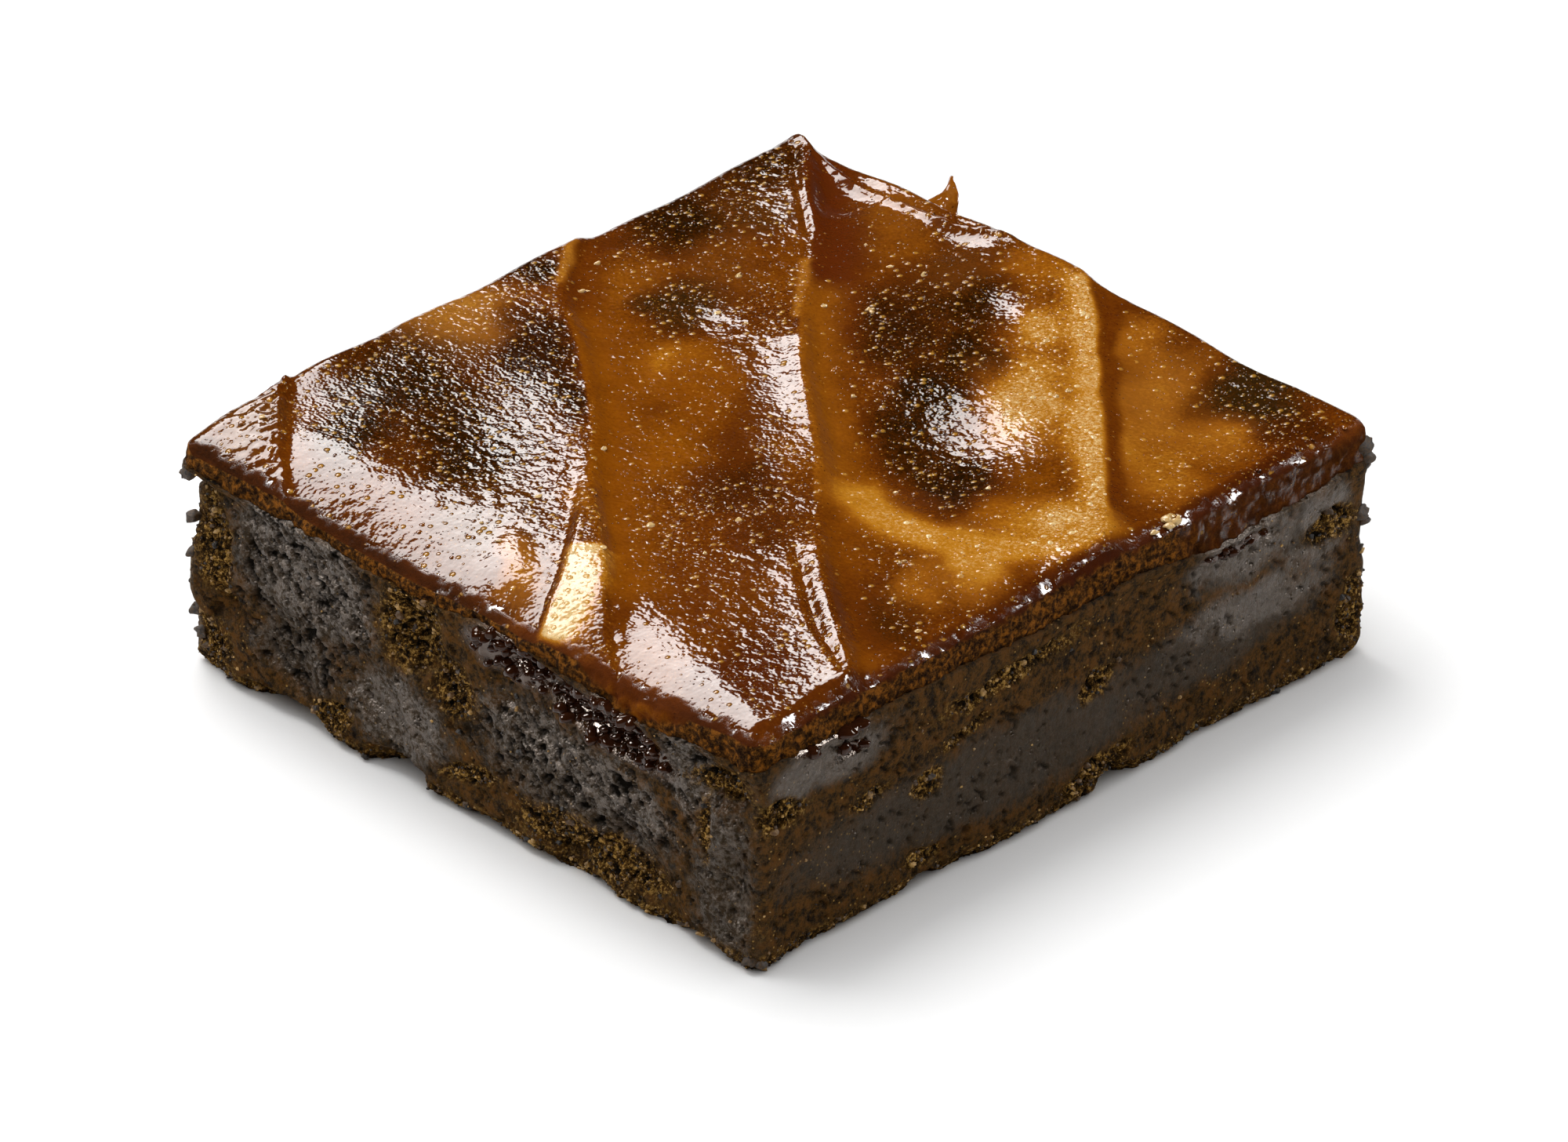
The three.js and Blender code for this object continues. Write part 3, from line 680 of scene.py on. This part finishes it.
# Bands beside a path: path, width on its left and right, tone, redness and tan. The orange bands just right
# of the crests are thicker fudge and partly painted glow of light shining through the crests.
BANDS = [
    ([(-35, 9.2), (-27.4, 1.1), (-20.5, -3.4)], 0.3, 4.5, 0.46, 0.6, 0),
    ([(-27, 0.8), (-20.5, -3.4), (-10.8, -11.2), (-2.9, -18.9), (5.6, -25.8), (12, -31)],
     0.3, 6.5, 0.58, 0.25, 0),
    ([(-32.2, 35.5), (-26, 29.4), (-19.3, 23.8), (-12.3, 15.2), (-8, 10.5)], 0.3, 6, 0.36, 1, 0),
    ([(-18, 21.5), (-14, 17), (-10.5, 13)], 0.8, 0.8, 0.72, 0, 0.5),
    ([(-16, 20), (-9.5, 12.4), (-3.7, 6.7), (5.1, -0.3), (13.3, -8.3)], 0.4, 4.6, 0.6, 0.1, 0.1),
    ([(9, 0), (14, -3), (18, -4), (23, -3.5), (28, -0.5), (31, 4), (30, 9)], 3.4, 3, 0.84, 0, 0.2),
    ([(0, 37), (5.4, 32.2), (11.1, 27), (19.2, 19.1), (27.1, 11.4), (31, 8)], 3, 0.8, 0.88, 0, 0.3),
    ([(3.5, 36), (9, 30.8), (15.6, 24.4), (23.2, 17), (30.4, 9.8)], 0.9, 1.2, 0.46, 0.5, 0),
    ([(-35.5, 10.5), (-32, 6.2), (-29, 2.4)], 0.7, 0.7, 0.75, 0, 0.5),
    # Painted highlight: the pale cream band on the folded flap
    ([(3, -26), (7, -31), (10, -37)], 1.2, 4, 1, 0, 0.25),
    ([(-36, -36.9), (-14, -37), (6, -37.2)], 2.6, 2.6, 0.1, 0.1, 0),
    ([(14, -37.6), (24, -37.6), (36, -37)], 2.4, 2.4, 0.12, 0.4, 0),
    ([(35.4, -36), (35, -20), (34.8, -4), (34.8, 8), (34.4, 20), (33.8, 32)], 1.8, 1.8, 0.12, 0.7, 0),
]


def frosting_paint(x, y, z):
    """The frosting's tone, redness and tan at points: soft patches and bands, painted one over another."""
    wx = x + 1.5 * flat_grain(x, y, 5, 51) + 0.4 * flat_grain(x, y, 1.6, 52)
    wy = y + 1.5 * flat_grain(x, y, 5, 53) + 0.4 * flat_grain(x, y, 1.6, 54)
    paint = np.stack([0.45 + 0.06 * wander(x, y, 0, 12, 9.4), np.full(x.shape, 0.25), np.zeros(x.shape)])
    for row in PATCHES:
        share = 1 - smoothstep(patch_distance(wx, wy, *row[:4]), 0.25, 1.2)
        paint = blend(paint, np.array(row[4:])[:, None], share)
    for path, left_width, right_width, *colour in BANDS:
        d, where = line_distance(path, x, y)
        soft = line_distance(path, blend(x, wx, 0.35), blend(y, wy, 0.35))[0]
        d = np.where(d < 0, d / left_width, np.maximum(soft, 0) / right_width)
        ends = smoothstep(where, 0, 0.12) * (1 - smoothstep(where, 0.88, 1))
        paint = blend(paint, np.array(colour)[:, None], ends * (1 - smoothstep(np.abs(d), 0.3, 1.1)))
    side = smoothstep(22.2 - z, 0, 0.9) * np.maximum(smoothstep(x, 33.6, 34.6), smoothstep(-y, 35.8, 36.5))
    drape = dome((x - 20) / 9) * smoothstep(-y, 30, 34)
    side_tone = blend(0.2, 0.6, drape) + 0.14 * grain(np.stack([x, y, z], 1), 1.6, 55)
    return blend(paint, np.stack([side_tone, blend(0.08, 0, drape), 0 * x]), side)


def speck_share(x, y, tone):
    """How thickly the painted glint specks and tiny domes strew the frosting: sparse on the right flank of
    each ridge.
    """
    calm = np.zeros_like(x)
    for name in ("left stroke", "middle stroke", "right stroke"):
        d = crest_distance(name, x, y)[0]
        calm = np.maximum(calm, smoothstep(d, 0, 0.6) * (1 - smoothstep(d, 2.5, 7)))
    crowd = smoothstep(wander(x, y, 0, 15, 12.5), -0.7, 0.6)
    return (1 - 0.85 * calm) * (0.35 + 0.65 * np.maximum(crowd, 1 - smoothstep(tone, 0.15, 0.4)))


# Small loose things


def ball(detail):
    """A unit ball's points and triangles."""
    shape = bmesh.new()
    bmesh.ops.create_icosphere(shape, subdivisions=detail, radius=1)
    points = np.array([v.co[:] for v in shape.verts])
    faces = np.array([[v.index for v in f.verts] for f in shape.faces])
    shape.free()
    return points, faces


def scattered(detail, places, sizes, squash, lumpiness, seed):
    """Lumpy balls, each with its own size, turn and lumps, as one mesh, and the ball each point is of."""
    random = np.random.default_rng(seed)
    unit, triangles = ball(detail)
    count = len(places)
    lumps = 1 + lumpiness * random.uniform(-1, 1, (count, len(unit), 1))
    stretch = np.stack([*random.uniform(0.7, 1.25, (2, count)), squash * random.uniform(0.8, 1.2, count)], 1)
    turn = random.uniform(0, 2 * math.pi, (count, 1))
    x, y, z = np.moveaxis(unit * lumps * stretch[:, None], -1, 0)
    turned = np.stack([x * np.cos(turn) - y * np.sin(turn), x * np.sin(turn) + y * np.cos(turn), z], -1)
    points = turned * np.asarray(sizes)[:, None, None] + np.asarray(places)[:, None]
    faces = triangles + (np.arange(count) * len(unit))[:, None, None]
    return points.reshape(-1, 3), faces.reshape(-1, 3), np.repeat(np.arange(count), len(unit))


# Each kind of crumb: name, how many are tried, smallest and largest size, detail of the shape
CRUMB_KINDS = [("fine_crumbs", 15000, 0.07, 0.17, 1), ("coarse_crumbs", 2200, 0.15, 0.4, 2)]
MELTED_TRIES = 9000
MELTED_LUMPS = 210
BLISTER_TRIES = 2600
STREWN_GRAINS = 46
# The grains that stand out, most of them on the right edge: X, Y and size
PLACED_GRAINS = [
    (33.7, 12.5, 0.5), (34.2, 12.9, 0.45), (34.3, 12.1, 0.36), (33.5, 13.1, 0.35), (33.9, 13.6, 0.3),
    (34.1, 10.6, 0.35), (-8, 19.2, 0.42), (-7.6, 19, 0.3), (4.2, -18.8, 0.34), (10.8, -18.9, 0.3),
]


def make_crumbs(name, tries, smallest, largest, detail, material, seed):
    """Crumbs that cling to the torn places and the lower edge of the cake."""
    random = np.random.default_rng(seed)
    x, y = outline_rows()
    pick = random.integers(0, len(x), tries)
    share = random.uniform(0, 1, tries) ** 1.15
    points, look = cake_point(x[pick], y[pick], share)
    z = points[:, 2]
    chance = np.maximum(look.crumbly, 0.02 + 0.5 * (1 - smoothstep(z, 0.3, 1.6)))
    kept = random.uniform(0, 1, tries) < 0.9 * chance
    points = points[kept]
    sizes = smallest + (largest - smallest) * random.uniform(0, 1, len(points)) ** 2.2
    points[:, 2] = np.maximum(points[:, 2], sizes * 0.8)
    shapes, faces, owner = scattered(detail, points, sizes, 0.8, 0.28, seed + 1)
    shapes[:, 2] = np.maximum(shapes[:, 2], 0)
    values = {"shade": random.uniform(0, 1, len(points))[owner]}
    mesh_piece(name, shapes, faces, material, values, smooth=False)


def make_melted_lumps(material):
    """Soft lumps of melted chocolate in the wet hollows."""
    random = np.random.default_rng(SEED + 70)
    x, y = outline_rows()
    pick = random.integers(0, len(x), MELTED_TRIES)
    points, look = cake_point(x[pick], y[pick], random.uniform(0.7, 1, MELTED_TRIES))
    points = points[look.wet > 0.45][:MELTED_LUMPS]
    sizes = 0.22 + 0.6 * random.uniform(0, 1, len(points)) ** 1.8
    shapes, faces, _ = scattered(3, points, sizes, 0.7, 0, SEED + 71)
    shapes += 0.22 * grain(shapes, 0.8, 62)[:, None]
    mesh_piece("melted_lumps", shapes, faces, material, {})


# The curl: X of its left and right edge at five heights, and Y and Z of its root and its tip
CURL_EDGES = [(-18.6, -14.4), (-17.8, -14.8), (-17.1, -15.2), (-17.0, -16.0), (-17.2, -16.9)]
CURL_ROOT = (36.0, 22.4)
CURL_TIP = (38.4, 25.0)
CURL_SIDES = 24


def make_curl(material):
    """The flap that the knife pulled up at the back edge."""
    edges = smooth_line(CURL_EDGES)
    share = np.linspace(0, 1, len(edges))[:, None]
    turns = np.arange(CURL_SIDES) / CURL_SIDES * 2 * math.pi
    middle = edges.mean(axis=1)[:, None]
    half = (edges[:, 1:] - edges[:, :1]) / 2
    x = middle + half * np.cos(turns)
    y = blend(CURL_ROOT[0], CURL_TIP[0], share**1.3) + blend(0.55, 0.12, share) * np.sin(turns)
    y = y + 0.5 * np.cos(turns) ** 2 * (1 - share)
    z = blend(CURL_ROOT[1], CURL_TIP[1], share**0.8) + 0 * turns
    points = np.stack([x, y, z], -1).reshape(-1, 3)
    points += 0.1 * grain(points, 0.9, 61)[:, None]
    faces = wall_faces(len(edges), CURL_SIDES)
    caps = end_caps(CURL_SIDES, len(points))
    mesh_piece("frosting_curl", points, faces, material, {"tone": 0.7, "red": 0.4}, caps=caps)


# Lumps that stand out at the corners: X, Y, Z and size
KNOBS = [
    (34.1, 35.9, 20.4, 0.95), (34.5, 36, 19.4, 0.75), (34.3, 35.8, 18.7, 0.6), (34.2, 35.7, 13.9, 0.8),
    (34.3, 36, 13.1, 0.5), (34.1, 35.9, 10.4, 0.5), (34, 35.9, 8.2, 0.5), (-34.1, -35.9, 19.3, 0.9),
    (-34.6, -36.1, 18.8, 0.5), (-33.8, -35.9, 14.8, 0.6), (-34, -35.7, 11.2, 0.55),
    (-33.7, -35.9, 8.4, 0.6), (-33.8, -35.7, 5.6, 0.65), (-33.4, -35.7, 3.4, 0.7), (33.4, -35.9, 1.2, 0.6),
    (34.1, -35.4, 0.9, 0.5),
]


def make_knobs(material):
    """Torn lumps at the block's upright corners."""
    knobs = np.array(KNOBS)
    shapes, faces, _ = scattered(3, knobs[:, :3], knobs[:, 3], 0.9, 0, SEED + 80)
    shapes += 0.22 * grain(shapes, 0.5, 63)[:, None]
    mesh_piece("corner_crumbs", shapes, faces, material, {"shade": 0.3})


def make_blisters(material):
    """Tiny domes where air has set under the frosting's skin."""
    random = np.random.default_rng(SEED + 20)
    x = random.uniform(-WIDTH / 2 + 1.5, WIDTH / 2 - 1.2, BLISTER_TRIES)
    y = random.uniform(-DEPTH / 2 + 3.5, DEPTH / 2 - 1.5, BLISTER_TRIES)
    tone = frosting_paint(x, y, frosting_height(x, y))[0]
    kept = random.uniform(0, 1, BLISTER_TRIES) < 0.9 * speck_share(x, y, tone)
    x, y = x[kept], y[kept]
    sizes = 0.1 + 0.24 * random.uniform(0, 1, len(x)) ** 2.5
    z = frosting_height(x, y) - 0.15 * sizes
    shapes, faces, owner = scattered(2, np.stack([x, y, z], 1), sizes, 0.42, 0, SEED + 21)
    tone, red, tan = frosting_paint(x, y, z)[:, owner]
    # Painted glow: each blister's tone is raised round the glint it catches
    values = {"tone": np.clip(tone + 0.15, 0, 1), "red": red, "tan": tan}
    mesh_piece("frosting_blisters", shapes, faces, material, values)


def make_grains(material):
    """Pale crumbs caught in the frosting."""
    random = np.random.default_rng(SEED + 30)
    x = random.uniform(-WIDTH / 2 + 3, WIDTH / 2 - 2, STREWN_GRAINS)
    y = random.uniform(-DEPTH / 2 + 5, DEPTH / 2 - 3, STREWN_GRAINS)
    sizes = random.uniform(0.14, 0.3, STREWN_GRAINS)
    x, y, sizes = np.vstack([np.stack([x, y, sizes], 1), PLACED_GRAINS]).T
    places = np.stack([x, y, frosting_height(x, y)], 1)
    shapes, faces, _ = scattered(3, places, sizes, 0.6, 0, SEED + 31)
    shapes += 0.16 * grain(shapes, 0.35, 64)[:, None]
    mesh_piece("frosting_grains", shapes, faces, material, {"tone": 0.98, "tan": 0.6})


# Materials

# How little a dry surface shines
DULL_SPECULAR = 0.03


def linear(red, green, blue):
    """A colour given as it shows on a screen, 0 to 255, as linear light."""
    channels = [c / 255 for c in (red, green, blue)]
    return (*(c / 12.92 if c <= 0.04045 else ((c + 0.055) / 1.055) ** 2.4 for c in channels), 1)


class Socket:
    """A node's output in an expression. Its operators add Math nodes."""

    def __init__(self, nodes, output):
        self.nodes = nodes
        self.output = output

    def math(self, operation, first, second, clamp=False):
        settings = {"operation": operation, "use_clamp": clamp}
        return self.nodes.node("ShaderNodeMath", settings, {0: first, 1: second})

    def __add__(self, other):
        return self.math("ADD", self, other)

    def __sub__(self, other):
        return self.math("SUBTRACT", self, other)

    def __rsub__(self, other):
        return self.math("SUBTRACT", other, self)

    def __mul__(self, other):
        return self.math("MULTIPLY", self, other)

    __radd__ = __add__
    __rmul__ = __mul__

    def over(self, other):
        return self.math("GREATER_THAN", self, other)

    def clamped(self):
        return self.math("ADD", self, 0, clamp=True)


class Nodes:
    """A node tree under construction."""

    def __init__(self, tree):
        self.tree = tree

    def node(self, kind, settings=None, inputs=None, output=0):
        made = self.tree.nodes.new(kind)
        for key, value in (settings or {}).items():
            if key == "stops":
                self.set_stops(made.color_ramp, value)
            else:
                setattr(made, key, value)
        for key, value in (inputs or {}).items():
            self.feed(made.inputs[key], value)
        return Socket(self, made.outputs[output])

    def feed(self, socket, value):
        if isinstance(value, Socket):
            self.tree.links.new(value.output, socket)
        else:
            socket.default_value = value

    def set_stops(self, ramp, stops):
        while len(ramp.elements) < len(stops):
            ramp.elements.new(1)
        for element, (position, colour) in zip(ramp.elements, stops):
            element.position = position
            element.color = colour


class Finish(Nodes):
    """A material under construction."""

    def __init__(self, name):
        self.material = bpy.data.materials.new(name)
        self.material.use_nodes = True
        super().__init__(self.material.node_tree)
        self.shader = self.tree.nodes["Principled BSDF"]
        place = self.node("ShaderNodeTexCoord", output="Object")
        self.place = self.node("ShaderNodeVectorMath", {"operation": "SCALE"}, {0: place, "Scale": 1 / MM})

    def moved(self, *step):
        return self.node("ShaderNodeVectorMath", {"operation": "ADD"}, {0: self.place, 1: step})

    def attribute(self, name):
        return self.node("ShaderNodeAttribute", {"attribute_name": name}, output="Fac")

    def noise(self, size, detail=2.0, roughness=0.5, seed=0.0):
        place = self.moved(seed, 0.7 * seed, 0.3 * seed)
        inputs = {"Vector": place, "Scale": 1 / size, "Detail": detail, "Roughness": roughness}
        return self.node("ShaderNodeTexNoise", {}, inputs, output="Fac")

    def ramp(self, value, stops):
        return self.node("ShaderNodeValToRGB", {"stops": stops}, {"Fac": value}, output="Color")

    def mixed(self, share, first, second):
        return self.node("ShaderNodeMix", {"data_type": "RGBA"}, {0: share, 6: first, 7: second}, output=2)

    def dots(self, size, seed, peak, fall, left_out, rounded=False):
        """Dots strewn about one size apart, 1 inside and 0 outside. A share of them is left out."""
        inputs = {"Vector": self.moved(seed, seed, seed), "Scale": 1 / size}
        near = self.node("ShaderNodeTexVoronoi", {}, inputs, output="Distance")
        colour = Socket(self, near.output.node.outputs["Color"])
        chance = self.node("ShaderNodeSeparateColor", {}, {0: colour})
        away = near * near if rounded else near
        return (peak - away * fall).clamped() * chance.over(left_out)

    def bump(self, height, distance, strength=1.0):
        inputs = {"Height": height, "Distance": distance * MM, "Strength": strength}
        return self.node("ShaderNodeBump", {}, inputs, output="Normal")

    def set(self, **values):
        for key, value in values.items():
            self.feed(self.shader.inputs[key.replace("_", " ")], value)
        return self.material

    def dulled(self, share, **values):
        """Mixes in a share of a dull, dry surface."""
        values = {"Roughness": 0.85, "Specular_IOR_Level": DULL_SPECULAR, **values}
        inputs = {key.replace("_", " "): value for key, value in values.items()}
        dull = self.node("ShaderNodeBsdfPrincipled", {}, inputs)
        glossy = Socket(self, self.shader.outputs[0])
        both = self.node("ShaderNodeMixShader", {}, {0: share, 1: glossy, 2: dull})
        self.feed(self.tree.nodes["Material Output"].inputs["Surface"], both)
        return self.material


# From dark and thin over brown, orange and gold to pale gold. The palest stop also serves the painted
# highlight on the folded flap.
FUDGE_COLOURS = [
    linear(24, 10, 0), linear(90, 42, 4), linear(138, 76, 8), linear(180, 118, 26), linear(222, 190, 132),
]
RED_FUDGE = linear(84, 30, 8)
TAN_FUDGE = linear(150, 104, 46)
# Warm pale gold for painted glints: the specks, and the glow painted round each tiny dome's glint
PAINTED_GLINT_FUDGE = linear(208, 152, 58)
RIM_COLOURS = [linear(22, 12, 4), linear(72, 45, 14), linear(140, 84, 26)]

DARK_CAKE = linear(24, 15, 5)
OLIVE_CAKE = linear(64, 44, 15)
BROWN_CAKE = linear(88, 56, 19)
TORN_CAKE = linear(98, 66, 24)
GOLD_CRUMB = linear(188, 146, 76)
SMEAR_CAKE = linear(44, 34, 20)
# Near black for painted shade in the pits and between crumbs
PIT_SHADE_CAKE = linear(12, 8, 3)
MELTED_CHOCOLATE = linear(46, 21, 8)


def frosting_finish():
    fudge = Finish("fudge_frosting")
    strewn = fudge.attribute("specks")
    matt = fudge.attribute("matt")
    cloud = fudge.noise(2.6, 3, 0.6, seed=3)
    grit = fudge.noise(0.3, 3, 0.75, seed=9)
    tone = fudge.attribute("tone") + 0.2 * (cloud - 0.5) + (0.25 + 0.55 * strewn) * (grit - 0.5)
    colour = fudge.ramp(tone, list(zip((0, 0.41, 0.67, 0.85, 1), FUDGE_COLOURS)))
    redness = fudge.attribute("red") * (0.55 + 0.5 * fudge.noise(1.8, 2, seed=21)) * 0.7
    colour = fudge.mixed(redness.clamped(), colour, RED_FUDGE)
    colour = fudge.mixed(fudge.attribute("tan") * 0.5, colour, TAN_FUDGE)
    pinhole = fudge.dots(0.5, 8, 1.3, 7, 0.5)
    gold = fudge.dots(0.36, 5, 1.4, 5.5, 1 - 0.4 * strewn)
    big_dome = fudge.dots(1.0, 11, 1, 11, 1 - 0.7 * strewn, rounded=True)
    small_dome = fudge.dots(0.55, 17, 1, 14, 1 - 0.6 * strewn, rounded=True)
    # Painted shade: the pinholes are dented and painted in the darkest fudge
    colour = fudge.mixed(pinhole * 0.75, colour, FUDGE_COLOURS[0])
    # Painted glints: gold specks, and pale gold painted on the tiny domes round the glints their bumps catch
    colour = fudge.mixed(gold * 0.5, colour, PAINTED_GLINT_FUDGE)
    colour = fudge.mixed((big_dome * 0.55 + small_dome * 0.3).clamped(), colour, PAINTED_GLINT_FUDGE)
    torn = fudge.ramp(fudge.noise(0.6, 4, 0.75, seed=23), list(zip((0.4, 0.5, 0.62), RIM_COLOURS)))
    colour = fudge.mixed(fudge.attribute("caked") * 0.9, colour, torn)
    cobbles = fudge.noise(0.8, 1, 0.5, seed=2) * (1 - 0.6 * fudge.attribute("calm"))
    peel = fudge.noise(0.3, 0, 0.5, seed=4)
    height = cobbles + 0.3 * peel + 1.6 * big_dome + 0.6 * small_dome - 0.5 * pinhole + 3 * matt * grit
    normal = fudge.bump(height, 0.056)
    fudge.set(Base_Color=colour, Roughness=0.05 + 0.06 * fudge.noise(3.0, 2, seed=14), Normal=normal)
    return fudge.dulled(matt, Base_Color=colour, Normal=normal)


def cake_finish():
    cake = Finish("chocolate_cake")
    crumbly = cake.attribute("crumbly")
    smeared = cake.attribute("smeared")
    wet = cake.attribute("wet")
    pits = cake.attribute("pits")
    torn = cake.attribute("torn")
    cloud = cake.noise(1.1, 5, 0.85, seed=1)
    colour = cake.ramp(cloud, [(0.4, DARK_CAKE), (0.49, OLIVE_CAKE), (0.58, BROWN_CAKE)])
    colour = cake.mixed(smeared * 0.85, colour, SMEAR_CAKE)
    flecks = cake.noise(0.45, 4, 0.8, seed=6)
    # The darkest stop is painted shade in the gaps between crumbs
    crumbs = cake.ramp(flecks, [(0.41, PIT_SHADE_CAKE), (0.47, OLIVE_CAKE), (0.53, TORN_CAKE), (0.6, GOLD_CRUMB)])
    colour = cake.mixed(crumbly, colour, crumbs)
    colour = cake.mixed(cake.dots(0.6, 8, 1.2, 6, 0.7) * (0.8 - 0.5 * smeared), colour, GOLD_CRUMB)
    # Painted shade: the pits are darkened nearly to black
    colour = cake.mixed((pits * 1.1).clamped(), colour, PIT_SHADE_CAKE)
    colour = cake.mixed(wet, colour, MELTED_CHOCOLATE)
    height = (0.4 + 0.9 * crumbly) * cake.noise(0.28, 3, 0.6, seed=12)
    height = height + 0.9 * cake.noise(0.9, 3, 0.6, seed=13) - 0.6 * cake.dots(0.7, 15, 1, 4, 0.5)
    normal = cake.bump(height * (1 - 0.7 * wet), 0.36)
    patchy = ((cake.noise(0.6, 4, 0.8, seed=17) - 0.42) * 6).clamped()
    patchy = torn * (1.4 * patchy - 0.5) + 0.65 + 0.35 * patchy * (1 - torn)
    sheen = (cake.attribute("sheen") * patchy * (1 - pits) + wet).clamped()
    cake.set(Base_Color=colour, Roughness=(0.36 - 0.28 * wet).clamped(), Normal=normal)
    cake.set(Specular_IOR_Level=1.0, Specular_Tint=(1, 0.85, 0.74, 1))
    return cake.dulled(1 - sheen, Base_Color=colour, Normal=normal)


def crumb_finish():
    crumb = Finish("cake_crumbs")
    shade = crumb.attribute("shade") + 0.6 * (crumb.noise(0.25, 3, seed=3) - 0.5)
    colour = crumb.ramp(shade, [(0.2, DARK_CAKE), (0.6, TORN_CAKE), (0.9, GOLD_CRUMB)])
    return crumb.set(Base_Color=colour, Roughness=0.7, Normal=crumb.bump(crumb.noise(0.12, 3), 0.05, 0.6))


def melted_finish():
    melted = Finish("melted_chocolate")
    melted.set(Base_Color=MELTED_CHOCOLATE, Roughness=0.06)
    return melted.set(Specular_IOR_Level=0.28, Specular_Tint=(1, 0.9, 0.82, 1))


# Studio


CAMERA_AZIMUTH = math.radians(45.35)
CAMERA_HEIGHT_ANGLE = math.radians(31.35)
CAMERA_DISTANCE = 1016.9
CAMERA_TARGET = Vector((4.064, -3.082, 11.667))
CAMERA_LENS = 276.3
SENSOR = 36.0
FLOOR_REACH = 3000


def direction(left, height):
    """A way from the brownie: degrees to the left of straight away from the camera, and degrees up."""
    turn = CAMERA_AZIMUTH + math.radians(left)
    up = math.radians(height)
    return Vector((-math.sin(turn) * math.cos(up), math.cos(turn) * math.cos(up), math.sin(up)))


def look_along(thing, place, target):
    """Puts a camera or light at a place, looking at a target, both in millimetres."""
    back = (place - target).normalized()
    right = Vector((0, 0, 1)).cross(back).normalized()
    up = back.cross(right)
    turn = Matrix((right, up, back)).transposed().to_4x4()
    thing.matrix_world = Matrix.Translation(place * MM) @ turn


def make_camera():
    lens = bpy.data.cameras.new("camera")
    lens.lens = CAMERA_LENS
    lens.sensor_width = SENSOR
    lens.clip_start = 0.01
    camera = bpy.data.objects.new("camera", lens)
    bpy.context.scene.collection.objects.link(camera)
    back = -direction(0, 0) * math.cos(CAMERA_HEIGHT_ANGLE) + Vector((0, 0, math.sin(CAMERA_HEIGHT_ANGLE)))
    look_along(camera, CAMERA_TARGET + back * CAMERA_DISTANCE, CAMERA_TARGET)
    bpy.context.scene.camera = camera


def make_panel(name, left, height, distance, wide, tall, power, colour=(1, 1, 1), gloss=True, diffuse=True):
    """A softbox: its direction in degrees, its distance and size in millimetres, and its brightness."""
    light = bpy.data.lights.new(name, "AREA")
    light.shape = "RECTANGLE"
    light.size = wide * MM
    light.size_y = tall * MM
    light.energy = power * light.size * light.size_y * math.pi
    light.color = colour
    panel = bpy.data.objects.new(name, light)
    bpy.context.scene.collection.objects.link(panel)
    centre = Vector((0, 0, CAKE_HEIGHT))
    look_along(panel, centre + direction(left, height) * distance, centre)
    panel.visible_camera = False
    panel.visible_diffuse = diffuse
    panel.visible_glossy = gloss


def make_floor():
    table = Finish("pale_table")
    table.set(Base_Color=(0.94, 0.94, 0.94, 1), Roughness=0.6, Specular_IOR_Level=0.2)
    mesh = bpy.data.meshes.new("table")
    reach = FLOOR_REACH * MM
    corners = [(-reach, -reach, 0), (reach, -reach, 0), (reach, reach, 0), (-reach, reach, 0)]
    mesh.from_pydata(corners, [], [(0, 1, 2, 3)])
    mesh.materials.append(table.material)
    floor = bpy.data.objects.new("table", mesh)
    bpy.context.scene.collection.objects.link(floor)


def make_world():
    """A studio that is bright near the horizon and dark above it."""
    world = bpy.data.worlds.new("studio")
    world.use_nodes = True
    studio = Nodes(world.node_tree)
    place = studio.node("ShaderNodeTexCoord", output="Generated")
    up = studio.node("ShaderNodeSeparateXYZ", {}, {0: place}, output="Z")
    fade = {"Value": up, "From Min": 0.05, "From Max": 0.3, "To Min": 0.8, "To Max": 0.02}
    glow = studio.node("ShaderNodeMapRange", {}, fade, output="Result")
    studio.feed(world.node_tree.nodes["Background"].inputs["Strength"], glow)
    bpy.context.scene.world = world
    bpy.context.scene.view_settings.view_transform = "Standard"


def make_lights():
    make_panel("window_softbox", 29.6, 40.4, 600, 382, 278, 10, colour=(1, 0.955, 0.92), diffuse=False)
    make_panel("left_glint", 95, 38, 600, 200, 200, 36, diffuse=False)
    make_panel("right_glint", -87, 36, 600, 200, 200, 30, diffuse=False)
    make_panel("overhead_softbox", 55, 66, 700, 420, 420, 5, gloss=False)
    make_panel("ceiling_fill", 0, 89, 1200, 3200, 3200, 1.25, gloss=False)


def main():
    make_camera()
    fudge = frosting_finish()
    cake = cake_finish()
    crumb = crumb_finish()
    melted = melted_finish()
    make_cake(cake)
    make_frosting(fudge)
    make_blisters(fudge)
    make_grains(fudge)
    make_curl(fudge)
    make_knobs(crumb)
    make_melted_lumps(melted)
    for n, (name, tries, smallest, largest, detail) in enumerate(CRUMB_KINDS):
        make_crumbs(name, tries, smallest, largest, detail, crumb, SEED + 50 + 10 * n)
    make_floor()
    make_world()
    make_lights()


main()
